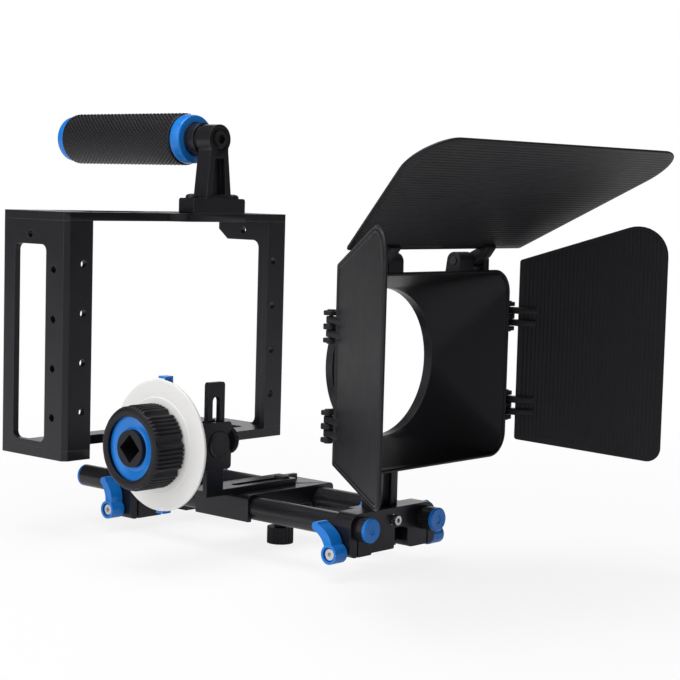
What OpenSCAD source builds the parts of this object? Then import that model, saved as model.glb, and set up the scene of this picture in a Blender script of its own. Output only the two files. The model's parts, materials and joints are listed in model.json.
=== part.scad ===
// Camera cage rig: a four-sided cage with a top handle, a pair of 15 mm rods,
// a follow focus and a matte box with three flags. Millimetres.
// X runs across the rig, the lens looks along -Y, Z is up. The parts are drawn from
// the middle line between the rods, the front plane of the cage and the underside of
// the follow focus clamping screw, then set down with the origin under the middle of
// the rig.

/* [Cage] */
// Width of the cage across its side plates
cage_w = 203.5; // [195:0.5:215]
// Sideways offset of the cage centre from the rods
cage_cx = 3.5; // [0:0.25:6]
// Depth of the cage, front to back
cage_d = 64.25; // [62:0.25:72]
// Height of the cage over both plates
cage_h = 162; // [150:1:180]
// Height of the underside of the cage
cage_z = 53; // [52:0.5:58]
// Thickness of the top plate
top_t = 5.6; // [5:0.1:8]
// Thickness of the bottom plate
bottom_t = 6.4; // [6:0.1:9]
// Thickness of the side plates
side_t = 4.5; // [4:0.1:5.5]
// Width of the front flange on the near side plate
flange_near = 22; // [18:0.1:24]
// Width of the front flange on the far side plate
flange_far = 17.4; // [16:0.1:20]
// Depth of the front strip of the far side plate
strip_d = 22.4; // [20:0.1:28]
// Pitch of the accessory holes in the side plates
hole_pitch = 32.3; // [28:0.1:34]
// Radius of the accessory holes, tapped 1/4-20
hole_r = 2.55; // [2:0.05:3]

// Radius of the large accessory hole, tapped 3/8-16
big_hole_r = 4; // [3.5:0.05:4.5]

/* [Handle] */
// Sideways position of the handle
handle_x = 28.5; // [26:0.5:31]
// Height of the grip axis over the top plate
grip_up = 51.4; // [46:0.2:60]
// Length of the rubber grip
grip_len = 115.5; // [100:0.5:130]
// Outer radius of the rubber grip
grip_r = 18.3; // [16:0.1:20]

/* [Rods] */
// Outer radius of the support rods
rod_r = 7.5; // [7:0.05:7.5]
// Distance between the rod axes
rod_pitch = 60; // [59:0.5:61]
// Height of the rod axes
rod_h = 30; // [29:0.5:30.5]
// Front end of the rods, behind the end plugs' faces
rod_front = -206.7; // [-220:0.1:-204]
// Rear end of the rods
rod_rear = 59.4; // [50:0.1:90]
// How much further forward the far rod sits than the near one
far_shift = 3; // [0:0.5:5]

/* [Levers] */
// Length of a clamp lever from hub to tip
lever_len = 19.6; // [18:0.2:22]
// Radius of a clamp lever's hub
lever_r = 6; // [5.8:0.1:7]

/* [Follow focus] */
// Distance of the focus knob's axis in front of the cage
focus_y = -92; // [-96:0.5:-88]
// Height of the focus knob's axis
focus_h = 75; // [74:0.5:80]
// Radius of the focus knob
knob_r = 25.9; // [24:0.1:28]
// Length of the focus knob's barrel
knob_len = 21; // [19:0.5:26]
// Radius of the marking disc
disc_r = 40.6; // [36:0.1:41]
// Height of the slotted post over the top of the clamp
post_up = 72.6; // [68:0.2:80]
// Teeth on the lens gear, module 0.8
gear_teeth = 48; // [40:1:50]

/* [Matte box] */
// Half width of the shade at its front rim
shade_w = 78.7; // [74:0.1:80]
// Height of the shade's front rim
shade_h = 118.5; // [116:0.5:122]
// Corner radius of the shade's front rim
shade_corner = 15; // [12:0.5:20]
// Radius of the lens opening at the back of the shade
lens_r = 45.7; // [42:0.1:46]
// Height of the lens axis
lens_h = 128.7; // [127:0.1:130]
// Depth of the matte box, from the shade's front rim to the lens ring
shade_d = 36.3; // [34:0.1:40]
// Front face of the rod clamp that carries the matte box
clamp_y = -198; // [-199:0.1:-197.5]
// Opening angle of the flags from straight ahead
flag_angle = 33; // [20:1:50]
// Width of the side flags, hinge to outer edge
side_flag_w = 92.7; // [80:0.1:100]
// Width of the top flag, hinge to outer edge
top_flag_w = 113.2; // [95:0.1:125]
// Half length of the top flag at its hinge edge
top_flag_half = 82.7; // [80:0.1:84]
// How much further each end of the top flag reaches at its outer edge
top_flag_flare = 52.5; // [30:0.5:55]
// Half height of the side flags at their hinge edge
side_flag_half = 57.4; // [50:0.1:58]

/* [Fits] */
// Radial clearance of turning and sliding fits
fit = 0.05; // [0.02:0.01:0.08]
// Clearance of the flat sliding fits
slide_gap = 0.3; // [0.1:0.05:0.4]

/* [Hidden] */
$fn = 64;
eps = 0.01;
// cage
cage_x0 = cage_cx - cage_w / 2;
cage_x1 = cage_cx + cage_w / 2;
side_z0 = cage_z + bottom_t;
side_z1 = cage_z + cage_h - top_t;
top_z = cage_z + cage_h;
cage_chamfer = 3;
hole_mid = (side_z0 + side_z1) / 2;
holes_z = [for (i = [-1.5:1:1.5]) hole_mid - 5.5 + i * hole_pitch];
slot_z0 = side_z0 + 4.1;
slot_z1 = side_z1 - 16.1;
arm_z = side_z1 - 14.1;
arm_bevel = [9.4, 7.3];
arm_hole_y = 38.5;
tongue_x0 = handle_x - 27.5;
tongue_x1 = handle_x + 24.7;
tongue_y = -10;
// fastening screws of the plates
screw_r = 1.25;
screw_head_r = 1.9;
screw_head_t = 2;
screw_len = 9;
near_mid = cage_x0 + side_t / 2;
far_mid = cage_x1 - side_t / 2;
top_screws = [
  [near_mid, 12], [cage_x0 + 10, side_t / 2], [near_mid, 45],
  [far_mid, 12], [cage_x1 - 10, side_t / 2], [far_mid, 45]
];
bottom_screws = [
  [near_mid, 12], [cage_x0 + 10, side_t / 2], [near_mid, 58],
  [far_mid, 12], [cage_x1 - 10, side_t / 2]
];
// camera screw
cam_y = 43;
cam_r = 3.175;
cam_knob_r = 11;
cam_knob_t = 9;
cam_travel = 8;
// handle
base_t = 10.6;
base_half = 24.7;
base_y0 = -10;
base_y1 = 5;
eye_r = 10.2;
eye_y0 = -9;
eye_y1 = 5;
grip_z = top_z + grip_up;
neck_y = 6.5;
ring_y = 15;
grip_y = 24;
cap_y = grip_y + grip_len;
cap_t = 8;
core_r = 12;
handle_screw_dx = 19.25;
handle_screw_y = -2.5;
handle_screw_r = 2;
bolt_r = 4;
// rods
rod_x = rod_pitch / 2;
plug_t = 2.5;
plug_len = 10;
rod_bore = 6;
bore_r = rod_r + fit;
// rear rod clamp
rear_d = 22;
rear_half = rod_x + 10;
rear_z0 = rod_h - 22;
rear_z1 = rod_h + 10;
riser_half = 22;
slit_w = 1.5;
slit_x = rod_x + 3.3;
// levers
lever_t = 10.5;
stud_r = 2.5;
stud_head_r = 3.5;
stud_head_t = 2;
lever_recess = 3;
boss_t = 1;
rear_hub_y = rear_d / 2;
rear_hub_z = rod_h - 15.5;
rear_tilt_near = -15;
rear_tilt_far = 30;
front_hub_y = clamp_y + 7;
front_hub_z = rod_h - 14;
front_tilt_near = -37;
front_tilt_far = -25;
post_tilt = 22;
// follow focus clamp
ffc_x0 = -rod_x - 9;
ffc_x1 = rod_x + 12;
ffc_y0 = focus_y - 18;
ffc_y1 = focus_y + 30;
ffc_top = rod_h + 9.4;
ffc_mid = rod_h - 2;
ffc_low = rod_h - 8;
tie_x = 10.5;
tie_r = 2.9;
thumb_r = 8.75;
thumb_t = 11;
stem_r = 4;
// slotted bracket
br_t = 4;
br_y0 = focus_y - 8;
br_y1 = focus_y + 9;
br_x1 = 17;
leg_x = -58.75;
leg_half = 7.25;
leg_t = 3.5;
leg_top = ffc_top + post_up;
leg_slot = 3.2;
// gearbox
box_x0 = -88;
box_x1 = -48;
box_y0 = focus_y - 11;
box_y1 = focus_y + 12;
box_z0 = focus_h - 18;
box_z1 = focus_h + 12;
cavity_r = 8.55;
spin_r = 4;
pin_r = 3;
pin_z = focus_h - 2;
miter_r = 7;
miter_n = 16;
miter_face = 2.5;
gear_x = -68;
gear_m = 0.8;
gear_y = box_y1 + 1;
gear_t = 6;
lock_y = focus_y - 6.25;
lock_z = focus_h - 0.5;
lock_r = 8.8;
lock_t = 2.8;
pointer_x = box_x0 - 5;
pointer_t = 1.5;
pointer_half = disc_r + 0.4;
tab_half = 3.2;
tab_reach = 5;
disc_x = box_x0 - 13.5;
barrel_x = disc_x - 1.5;
knob_x = barrel_x - knob_len;
hub_r = 11.3;
hub_len = knob_len - 3;
socket = 12.7;
insert_r = knob_r - 5.5;
// matte box rod clamp and post
clamp_d = 14;
clamp_y1 = clamp_y + clamp_d;
clamp_half = rod_x + 10.5;
clamp_z0 = rod_h - 17.2;
clamp_z1 = rod_h + 9.6;
post_half = 10;
post_y0 = clamp_y + 6;
post_y1 = post_y0 + 12;
post_z0 = rod_h - 16;
keeper_y1 = post_y1 + 3;
keeper_half = rod_x - 10;
ring_y0 = clamp_y + 11;
ring_y1 = ring_y0 + 6;
ring_r = lens_r + 2.8;
lug_z0 = lens_h - ring_r - 14;
post_z1 = lug_z0 + 11.8;
// shade
shade_y = ring_y0 - shade_d;
shade_z = lens_h - 1.45;
rim_d = 2;
wall = 1.8;
shade_back = lens_r + wall;
// hinges
hinge_pin_r = 1.2;
hinge_x = shade_w + 5.8;
hinge_y = shade_y + 5.8;
hinge_z = [lens_h - 29.3, lens_h + 27.7];
ear_r = 4.4;
ear_levels = [[-9.1, -6.5], [-1.6, 1.6], [6.5, 9.1]];
eye_radius = 2.8;
prong_z0 = 1.9;
prong_t = 4;
pin_head = 0.7;
flag_x = shade_w + 6.65;
flag_y = shade_y - 1.7;
flag_z = lens_h + 6.3;
top_pin_y = shade_y + 6.3;
top_pin_z = shade_z + shade_h / 2 + 6;
top_flag_y = shade_y - 2;
top_flag_z = shade_z + shade_h / 2 + 12.5;
top_arm_x0 = 41;
top_arm_x1 = 51;
top_ear_x0 = 27;
top_ear_x1 = 56.5;
top_ears = [[top_ear_x0, top_arm_x0 - slide_gap], [top_arm_x1 + slide_gap, top_ear_x1]];
plate_t = 1.4;
rib_t = 0.8;
rib_pitch = 2.5;
rib_w = 1.2;
// distance from the cage's front plane to the middle of the rig
front_edge = top_flag_y - top_flag_w * cos(flag_angle) + rib_t * sin(flag_angle);
middle_y = (front_edge + cap_y + cap_t) / 2;

// colours
black = [0.10, 0.10, 0.11];
dark = [0.17, 0.17, 0.18];
blue = [0.10, 0.45, 0.90];
white = [0.92, 0.92, 0.90];
steel = [0.75, 0.75, 0.76];
rubber = [0.13, 0.12, 0.12];

// ---- helpers ----

function unit(v) = v / norm(v);

// Points of the arc of radius r that rounds corner b between a and c
function corner(a, b, c, r, n = 6) =
  r <= 0 ? [b] :
  let (u = unit(a - b), v = unit(c - b), half = acos(u * v) / 2, span = 180 - 2 * half)
  let (p = b + u * r / tan(half), q = b + v * r / tan(half))
  let (m = b + unit(u + v) * r / sin(half))
  [for (i = [0:n]) m + r * unit(unit(p - m) * sin((1 - i / n) * span) + unit(q - m) * sin(i / n * span))];

// Outline with each corner rounded by its own radius
function rounded(pts, rs) =
  let (n = len(pts))
  [for (i = [0:n - 1]) each corner(pts[(i + n - 1) % n], pts[i], pts[(i + 1) % n], rs[i])];

// Rectangle outline with one corner radius
function rounded_rect(x0, y0, x1, y1, r) =
  rounded([[x0, y0], [x1, y0], [x1, y1], [x0, y1]], [r, r, r, r]);

module block(a, b) {
  translate(a) cube([b[0] - a[0], b[1] - a[1], b[2] - a[2]]);
}

module round_x(r, x0, x1, y, z) {
  translate([x0, y, z]) rotate([0, 90, 0]) cylinder(h = x1 - x0, r = r);
}

module round_y(r, y0, y1, x, z) {
  translate([x, y1, z]) rotate([90, 0, 0]) cylinder(h = y1 - y0, r = r);
}

module round_z(r, z0, z1, x, y) {
  translate([x, y, z0]) cylinder(h = z1 - z0, r = r);
}

// Outline in (y, z) extruded from x0 to x1
module slab_x(pts, x0, x1) {
  translate([x0, 0, 0]) rotate([90, 0, 90]) linear_extrude(height = x1 - x0) polygon(pts);
}

// Outline in (x, z) extruded from y0 to y1
module slab_y(pts, y0, y1) {
  translate([0, y1, 0]) rotate([90, 0, 0]) linear_extrude(height = y1 - y0) polygon(pts);
}

// Outline in (x, y) extruded from z0 to z1
module slab_z(pts, z0, z1) {
  translate([0, 0, z0]) linear_extrude(height = z1 - z0) polygon(pts);
}

// Profile in (radius, along) turned about an axis parallel to X
module turn_x(pts, x, y, z) {
  translate([x, y, z]) rotate([0, 90, 0]) rotate_extrude() polygon(pts);
}

// Profile in (radius, along) turned about an axis parallel to Y
module turn_y(pts, x, y, z) {
  translate([x, y, z]) rotate([-90, 0, 0]) rotate_extrude() polygon(pts);
}

// Profile in (radius, along) turned about an axis parallel to Z
module turn_z(pts, x, y, z) {
  translate([x, y, z]) rotate_extrude() polygon(pts);
}

// Sets a part down with the origin under the middle of the rig
module set_down() {
  translate([0, -middle_y, 0]) children();
}

// ---- cage ----

module cage_top() {
  color(black) difference() {
    slab_z(concat(
      [[cage_x0 + cage_chamfer, 0], [-30, 0]],
      [for (i = [0:10]) let (t = i / 10) [
        -12 + (tongue_x0 + 12) * t, tongue_y * (3 * t * t - 2 * t * t * t)]],
      [[tongue_x1, tongue_y], [tongue_x1, 0], [cage_x1, 0], [cage_x1, cage_d],
       [cage_x0, cage_d], [cage_x0, cage_chamfer]]), side_z1, top_z);
    slab_z(rounded_rect(cage_x0 + 30, 13, handle_x - 24, 50, 3), side_z1 - 1, top_z + 1);
    slab_z(rounded_rect(handle_x - 14, 20, handle_x + 12, 50, 3), side_z1 - 1, top_z + 1);
    slab_z(rounded_rect(handle_x + 26, 13, cage_x1 - 14, 50, 3), side_z1 - 1, top_z + 1);
    for (x = [-75, -55, -35, -15]) round_z(hole_r, side_z1 - 1, top_z + 1, x, 6.5);
    for (x = [-60, -30, 0, 30, 60]) round_z(hole_r, side_z1 - 1, top_z + 1, x, 57);
    round_z(big_hole_r, side_z1 - 1, top_z + 1, cage_x0 + 20, 32);
    for (p = top_screws) {
      round_z(screw_head_r + fit, top_z - screw_head_t, top_z + 1, p[0], p[1]);
      round_z(screw_r + fit, side_z1 - 1, top_z, p[0], p[1]);
    }
    for (s = [-1, 1]) {
      round_z(handle_screw_r + fit, side_z1 - 1, top_z + 1, handle_x + s * handle_screw_dx, handle_screw_y);
    }
  }
}

module cage_bottom() {
  color(black) difference() {
    slab_z([
      [cage_x0 + cage_chamfer, 0], [cage_x0 + flange_near, 0], [cage_x0 + flange_near, 50],
      [-riser_half - 1, 50], [-riser_half - 1, 0], [cage_x1, 0], [cage_x1, cage_d],
      [cage_x0, cage_d], [cage_x0, cage_chamfer]], cage_z, side_z0);
    slab_z(rounded_rect(-cam_r - 0.4, cam_y - cam_travel, cam_r + 0.4, cam_y + cam_travel, cam_r),
      cage_z - 1, side_z0 + 1);
    slab_z(rounded_rect(45, 16, cage_x1 - 22, 48, 4), cage_z - 1, side_z0 + 1);
    for (x = [-60, -40, 36, 84]) round_z(hole_r, cage_z - 1, side_z0 + 1, x, 57);
    for (p = bottom_screws) {
      round_z(screw_head_r + fit, cage_z - 1, cage_z + screw_head_t, p[0], p[1]);
      round_z(screw_r + fit, cage_z, side_z0 + 1, p[0], p[1]);
    }
    for (s = [-1, 1]) {
      round_z(2 + fit, cage_z - 1, side_z0 + 1, s * 14, rear_d / 2);
      round_z(3.6 + fit, side_z0 - 2.2, side_z0 + 1, s * 14, rear_d / 2);
    }
  }
}

module cage_side_near() {
  x = cage_x0;
  color(black) difference() {
    slab_z([
      [x + cage_chamfer, 0], [x + flange_near, 0], [x + flange_near, side_t],
      [x + side_t + 2, side_t], [x + side_t, side_t + 2], [x + side_t, cage_d],
      [x, cage_d], [x, cage_chamfer]], side_z0, side_z1);
    slab_x(rounded_rect(20.6, slot_z0, 53, slot_z1, 4.5), x - 1, x + side_t + 1);
    for (z = holes_z) {
      round_x(hole_r, x - 1, x + side_t + 1, 13, z);
      round_y(hole_r, -1, side_t + 1, x + 14.6, z + 4);
    }
    round_x(hole_r, x - 1, x + side_t + 1, 37.2, side_z1 - 9.6);
    for (p = top_screws) round_z(screw_r + fit, side_z1 - screw_len, side_z1 + 1, p[0], p[1]);
    for (p = bottom_screws) round_z(screw_r + fit, side_z0 - 1, side_z0 + screw_len, p[0], p[1]);
  }
}

module cage_side_far() {
  x = cage_x1;
  color(black) difference() {
    union() {
      slab_z([
        [x - flange_far, 0], [x, 0], [x, strip_d], [x - side_t, strip_d],
        [x - side_t, side_t + 2], [x - side_t - 2, side_t], [x - flange_far, side_t]],
        side_z0, side_z1);
      slab_x(concat(
        [[10, side_z1], [10, arm_z - 5.5], [strip_d, arm_z - 5.5]],
        [for (a = [15:15:75]) [strip_d + 5.5 - 5.5 * cos(a), arm_z - 5.5 + 5.5 * sin(a)]],
        [[strip_d + 5.5, arm_z], [cage_d - arm_bevel[0], arm_z], [cage_d, arm_z + arm_bevel[1]],
         [cage_d, side_z1]]),
        x - side_t, x);
      slab_x(concat(
        [[10, side_z0], [10, side_z0 + 5.5], [strip_d, side_z0 + 5.5]],
        [for (a = [15:15:75]) [strip_d + 5.5 - 5.5 * cos(a), side_z0 + 5.5 - 5.5 * sin(a)]],
        [[strip_d + 5.5, side_z0]]), x - side_t, x);
    }
    for (z = holes_z) {
      round_y(hole_r, -1, side_t + 1, x - 11.7, z + 4);
      round_x(hole_r, x - side_t - 1, x + 1, 14.5, z);
    }
    round_x(hole_r, x - side_t - 1, x + 1, arm_hole_y, side_z1 - 7);
    for (p = top_screws) round_z(screw_r + fit, side_z1 - screw_len, side_z1 + 1, p[0], p[1]);
    for (p = bottom_screws) round_z(screw_r + fit, side_z0 - 1, side_z0 + screw_len, p[0], p[1]);
  }
}

module cage_screws() {
  color(steel) {
    for (p = top_screws) {
      difference() {
        union() {
          round_z(screw_head_r, top_z - screw_head_t, top_z, p[0], p[1]);
          round_z(screw_r, side_z1 - screw_len + 1, top_z - screw_head_t + eps, p[0], p[1]);
        }
        translate([p[0], p[1], top_z - 1]) cylinder(h = 2, r = 0.9, $fn = 6);
      }
    }
    for (p = bottom_screws) {
      difference() {
        union() {
          round_z(screw_head_r, cage_z, cage_z + screw_head_t, p[0], p[1]);
          round_z(screw_r, cage_z + screw_head_t - eps, side_z0 + screw_len - 1, p[0], p[1]);
        }
        translate([p[0], p[1], cage_z - 1]) cylinder(h = 2, r = 0.9, $fn = 6);
      }
    }
  }
}

module camera_screw() {
  color(steel) {
    difference() {
      union() {
        slab_z([for (i = [0:71]) let (r = cam_knob_r - (i % 2) * 0.5) [
          r * cos(i * 5), cam_y + r * sin(i * 5)]], cage_z - cam_knob_t, cage_z - 2);
        round_z(7, cage_z - 2 - eps, cage_z, 0, cam_y);
        round_z(cam_r - 0.5, cage_z - eps, side_z0 + 0.2 + eps, 0, cam_y);
        round_z(cam_r, side_z0 + 0.2, side_z0 + 6.2, 0, cam_y);
      }
      block([-7, cam_y - 0.8, cage_z - cam_knob_t - 1], [7, cam_y + 0.8, cage_z - cam_knob_t + 1.6]);
    }
  }
}

// ---- handle ----

module handle_post() {
  color(black) difference() {
    union() {
      slab_y(rounded([
        [handle_x - base_half, top_z], [handle_x + base_half, top_z],
        [handle_x + base_half, top_z + base_t], [handle_x - base_half, top_z + base_t]],
        [1, 1, 1.8, 1.8]), base_y0, base_y1);
      slab_y([
        [handle_x - 11.9, top_z + base_t - 1], [handle_x + 11.9, top_z + base_t - 1],
        [handle_x + 8.2, grip_z - 8.5], [handle_x + 8.2, grip_z],
        [handle_x - 8.2, grip_z], [handle_x - 8.2, grip_z - 8.5]], eye_y0, eye_y1 - 0.8);
      round_y(eye_r, eye_y0, eye_y1, handle_x, grip_z);
    }
    slab_y(rounded([
      [handle_x - 6.4, top_z + base_t + 2.5], [handle_x + 6.4, top_z + base_t + 2.5],
      [handle_x + 4.6, grip_z - 13], [handle_x - 4.6, grip_z - 13]],
      [1, 1, 1, 1]), eye_y0 - 1, eye_y0 + 4.5);
    round_y(7.5, eye_y0 - 1, eye_y0 + 3, handle_x, grip_z);
    round_y(bolt_r + fit, eye_y0, eye_y1 + 1, handle_x, grip_z);
    for (s = [-1, 1]) {
      round_z(handle_screw_r + fit, top_z - 1, top_z + base_t + 1,
        handle_x + s * handle_screw_dx, handle_screw_y);
    }
  }
}

module handle_screws() {
  color(black) for (s = [-1, 1]) difference() {
    union() {
      turn_z([[0, 0], [4.6, 0], [4.6, 0.9], [4.1, 1.9], [3.0, 2.6], [1.5, 2.95], [0, 3]],
        handle_x + s * handle_screw_dx, handle_screw_y, top_z + base_t);
      round_z(handle_screw_r, side_z1 + 0.5, top_z + base_t + eps,
        handle_x + s * handle_screw_dx, handle_screw_y);
    }
    translate([handle_x + s * handle_screw_dx, handle_screw_y, top_z + base_t + 1.2])
      cylinder(h = 3, r = 1.5, $fn = 6);
  }
}

module handle_washer() {
  color(dark) difference() {
    round_y(7.1, eye_y0 + 0.4, eye_y0 + 3, handle_x, grip_z);
    round_y(bolt_r + fit, eye_y0, eye_y0 + 4, handle_x, grip_z);
  }
}

module handle_bolt() {
  color(dark) difference() {
    union() {
      round_y(5.7, eye_y0 - 1.8, eye_y0 + 0.4, handle_x, grip_z);
      round_y(bolt_r, eye_y0 + 0.4 - eps, 38, handle_x, grip_z);
    }
    translate([handle_x, eye_y0 + 1, grip_z]) rotate([90, 0, 0]) cylinder(h = 4, r = 3.5, $fn = 6);
  }
}

module handle_core() {
  color(black) difference() {
    turn_y([
      [0, eye_y1], [9.5, eye_y1], [9.5, neck_y], [11, neck_y], [11.5, neck_y + 0.5],
      [11.5, ring_y], [core_r, ring_y], [core_r, cap_y], [0, cap_y]], handle_x, 0, grip_z);
    round_y(bolt_r + fit, eye_y1 - 1, 40, handle_x, grip_z);
    round_y(5 + fit, cap_y - 12, cap_y + 1, handle_x, grip_z);
  }
}

module handle_ring() {
  color(blue) turn_y([
    [core_r + fit, ring_y], [15.9, ring_y], [16.4, ring_y + 0.6], [17.4, grip_y - 0.8],
    [17, grip_y], [core_r + fit, grip_y]], handle_x, 0, grip_z);
}

module handle_grip() {
  color(rubber) turn_y([
    [core_r + fit, grip_y], [grip_r - 1, grip_y], [grip_r, grip_y + 1.2],
    [grip_r, cap_y - 1.2], [grip_r - 1, cap_y], [core_r + fit, cap_y]], handle_x, 0, grip_z);
}

module handle_cap() {
  color(blue) turn_y([
    [0, cap_y - 11], [5, cap_y - 11], [5, cap_y], [16, cap_y], [16.5, cap_y + 0.6],
    [16.5, cap_y + cap_t - 1.6], [15, cap_y + cap_t], [0, cap_y + cap_t]], handle_x, 0, grip_z);
}

// ---- rod clamp of the cage ----

module rear_clamp() {
  color(black) difference() {
    union() {
      slab_y(rounded([
        [-rear_half, rear_z0], [rear_half, rear_z0], [rear_half, rear_z1], [-rear_half, rear_z1]],
        [4, 4, 6, 6]), 0, rear_d);
      block([-riser_half, 0, rear_z1 - 1], [riser_half, rear_d, cage_z]);
    }
    for (s = [-1, 1]) {
      round_y(bore_r, -1, rear_d + 1, s * rod_x, rod_h);
      translate([s * slit_x - slit_w / 2, -1, rear_z0 - 1]) cube([slit_w, rear_d + 2, 22]);
      round_z(2 + fit, cage_z - 11, cage_z + 1, s * 14, rear_d / 2);
    }
    round_x(stud_r + fit, -rear_half - 1, -rod_x, rear_hub_y, rear_hub_z);
    round_x(stud_r + fit, rod_x, rear_half + 1, rear_hub_y, rear_hub_z);
    slab_y(rounded_rect(-12, rear_z0 - 2, 12, rod_h + 2, 3), -1, rear_d + 1);
  }
}

module rear_clamp_screws() {
  color(steel) for (s = [-1, 1]) difference() {
    union() {
      round_z(3.6, side_z0 - 2.2, side_z0, s * 14, rear_d / 2);
      round_z(2, cage_z - 10, side_z0 - 2.2 + eps, s * 14, rear_d / 2);
    }
    translate([s * 14, rear_d / 2, side_z0 - 1.4]) cylinder(h = 3, r = 1.5, $fn = 6);
  }
}

// Clamp lever: hub at the origin with its axis along +Z, pointing along +Y,
// base at z = 0, bowed arm to a rounded tip
function arm_mid(t) = [3 * sin(180 * t), lever_len * t];
function arm_half(t) = 3.5 - 0.9 * t;

module lever(boss) {
  difference() {
    union() {
      translate([0, 0, boss]) cylinder(h = lever_t, r = lever_r);
      cylinder(h = boss + eps, r = 4.6);
      translate([0, 0, boss]) linear_extrude(height = lever_t - 0.6) polygon(concat(
        [for (t = [0:0.05:1]) arm_mid(t) + [arm_half(t), 0]],
        [for (t = [1:-0.05:0]) arm_mid(t) - [arm_half(t), 0]]));
      translate([0, lever_len, boss]) cylinder(h = lever_t - 0.6, r = 2.7);
    }
    translate([0, 0, -1]) cylinder(h = lever_t + 4, r = stud_r + fit);
    translate([0, 0, boss + lever_t - lever_recess]) cylinder(h = lever_recess + 1, r = stud_head_r + 0.9);
  }
}

// Stud and round head that a lever turns on, base of the lever at z = 0
module lever_stud(boss, depth) {
  difference() {
    union() {
      translate([0, 0, -depth]) cylinder(h = depth + boss + lever_t - lever_recess + eps, r = stud_r);
      translate([0, 0, boss + lever_t - lever_recess]) cylinder(h = stud_head_t, r = stud_head_r);
    }
    translate([0, 0, boss + lever_t - lever_recess + 0.6]) cylinder(h = 3, r = 1.5, $fn = 6);
  }
}

// Places a lever on the +X or -X face at x, leaning by tilt about the X axis
module on_side(side, x, y, z, tilt) {
  translate([side * x, y, z]) rotate([tilt, 0, 0]) rotate([90, 0, side * 90]) children();
}

module rear_lever_near() {
  color(blue) on_side(-1, rear_half, rear_hub_y, rear_hub_z, rear_tilt_near) lever(boss_t);
}

module rear_lever_far() {
  color(blue) on_side(1, rear_half, rear_hub_y, rear_hub_z, rear_tilt_far) lever(boss_t);
}

module rear_lever_screws() {
  color(steel) {
    on_side(-1, rear_half, rear_hub_y, rear_hub_z, rear_tilt_near) lever_stud(boss_t, 9);
    on_side(1, rear_half, rear_hub_y, rear_hub_z, rear_tilt_far) lever_stud(boss_t, 9);
  }
}

// ---- rods ----

module rods() {
  color(dark) for (s = [-1, 1]) {
    shift = s > 0 ? far_shift : 0;
    difference() {
      round_y(rod_r, rod_front + plug_t - shift, rod_rear - plug_t - shift, s * rod_x, rod_h);
      round_y(rod_bore + fit, rod_front - shift, rod_rear - shift, s * rod_x, rod_h);
    }
  }
}

module rod_plugs() {
  color(blue) for (s = [-1, 1]) {
    front = rod_front - (s > 0 ? far_shift : 0);
    rear = rod_rear - (s > 0 ? far_shift : 0);
    turn_y([
      [0, front + 1], [2.2, front + 1], [2.6, front + 0.4], [rod_r - 0.7, front],
      [rod_r, front + 0.7], [rod_r, front + plug_t], [rod_bore, front + plug_t],
      [rod_bore, front + plug_t + plug_len], [0, front + plug_t + plug_len]],
      s * rod_x, 0, rod_h);
    turn_y([
      [0, rear - plug_t - plug_len], [rod_bore, rear - plug_t - plug_len],
      [rod_bore, rear - plug_t], [rod_r, rear - plug_t], [rod_r, rear - 0.7],
      [rod_r - 0.7, rear], [2.6, rear - 0.4], [2.2, rear - 1], [0, rear - 1]],
      s * rod_x, 0, rod_h);
  }
}

// ---- follow focus ----

module ff_clamp() {
  color(black) difference() {
    union() {
      slab_y(rounded([
        [ffc_x0, ffc_low], [-rod_x + 9, ffc_low], [-rod_x + 9, ffc_mid], [rod_x - 9, ffc_mid],
        [rod_x - 9, ffc_low], [ffc_x1, ffc_low], [ffc_x1, ffc_top], [ffc_x0, ffc_top]],
        [1, 1, 2, 2, 1, 1, 3, 3]), ffc_y0, ffc_y1);
      block([-20, br_y1 + 0.5, ffc_top - 1], [36, br_y1 + 4, ffc_top + 3]);
    }
    for (s = [-1, 1]) {
      round_y(bore_r, ffc_y0 - 1, ffc_y1 + 1, s * rod_x, rod_h);
      block([s * rod_x - 5.5, ffc_y0 - 1, ffc_low - 1], [s * rod_x + 5.5, ffc_y1 + 1, rod_h]);
    }
    round_z(tie_r + fit, ffc_mid - 1, ffc_top + 1, tie_x, focus_y);
    block([-14, ffc_y0 + 21, ffc_mid - 1], [4, ffc_y1 - 4, ffc_mid + 4]);
  }
}

module ff_thumbscrew() {
  color(dark) {
    slab_z([for (i = [0:47]) let (r = thumb_r - (i % 2) * 0.5) [
      tie_x + r * cos(i * 7.5), focus_y + r * sin(i * 7.5)]], 0, thumb_t);
    round_z(stem_r, thumb_t - eps, ffc_mid, tie_x, focus_y);
    round_z(tie_r, ffc_mid - eps, ffc_top + br_t + 1.6, tie_x, focus_y);
  }
}

module ff_nut() {
  color(dark) {
    difference() {
      round_z(5.6, ffc_top + br_t, ffc_top + br_t + 0.4, tie_x, focus_y);
      round_z(tie_r + fit, ffc_top, ffc_top + br_t + 2, tie_x, focus_y);
    }
    difference() {
      translate([tie_x, focus_y, ffc_top + br_t + 0.4]) cylinder(h = 1.2, r = 5, $fn = 6);
      round_z(tie_r + fit, ffc_top, ffc_top + br_t + 2, tie_x, focus_y);
    }
  }
}

module ff_bracket() {
  x0 = leg_x - leg_half;
  color(black) difference() {
    union() {
      slab_z(rounded([[x0, br_y0], [br_x1, br_y0], [br_x1, br_y1], [x0, br_y1]], [0, 2, 2, 1]),
        ffc_top, ffc_top + br_t);
      slab_y(rounded([
        [x0, ffc_top], [x0 + 2 * leg_half, ffc_top], [x0 + 2 * leg_half, leg_top], [x0, leg_top]],
        [0, 0, 2, 2]), br_y0, br_y0 + leg_t);
    }
    slab_z(rounded_rect(-35, focus_y - 3, 14.2, focus_y + 3, 2.99), ffc_top - 1, ffc_top + br_t + 1);
    slab_y(rounded_rect(leg_x - leg_slot, pin_z - 14, leg_x + leg_slot, leg_top - 9, 3.19),
      br_y0 - 1, br_y0 + leg_t + 1);
  }
}

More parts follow.
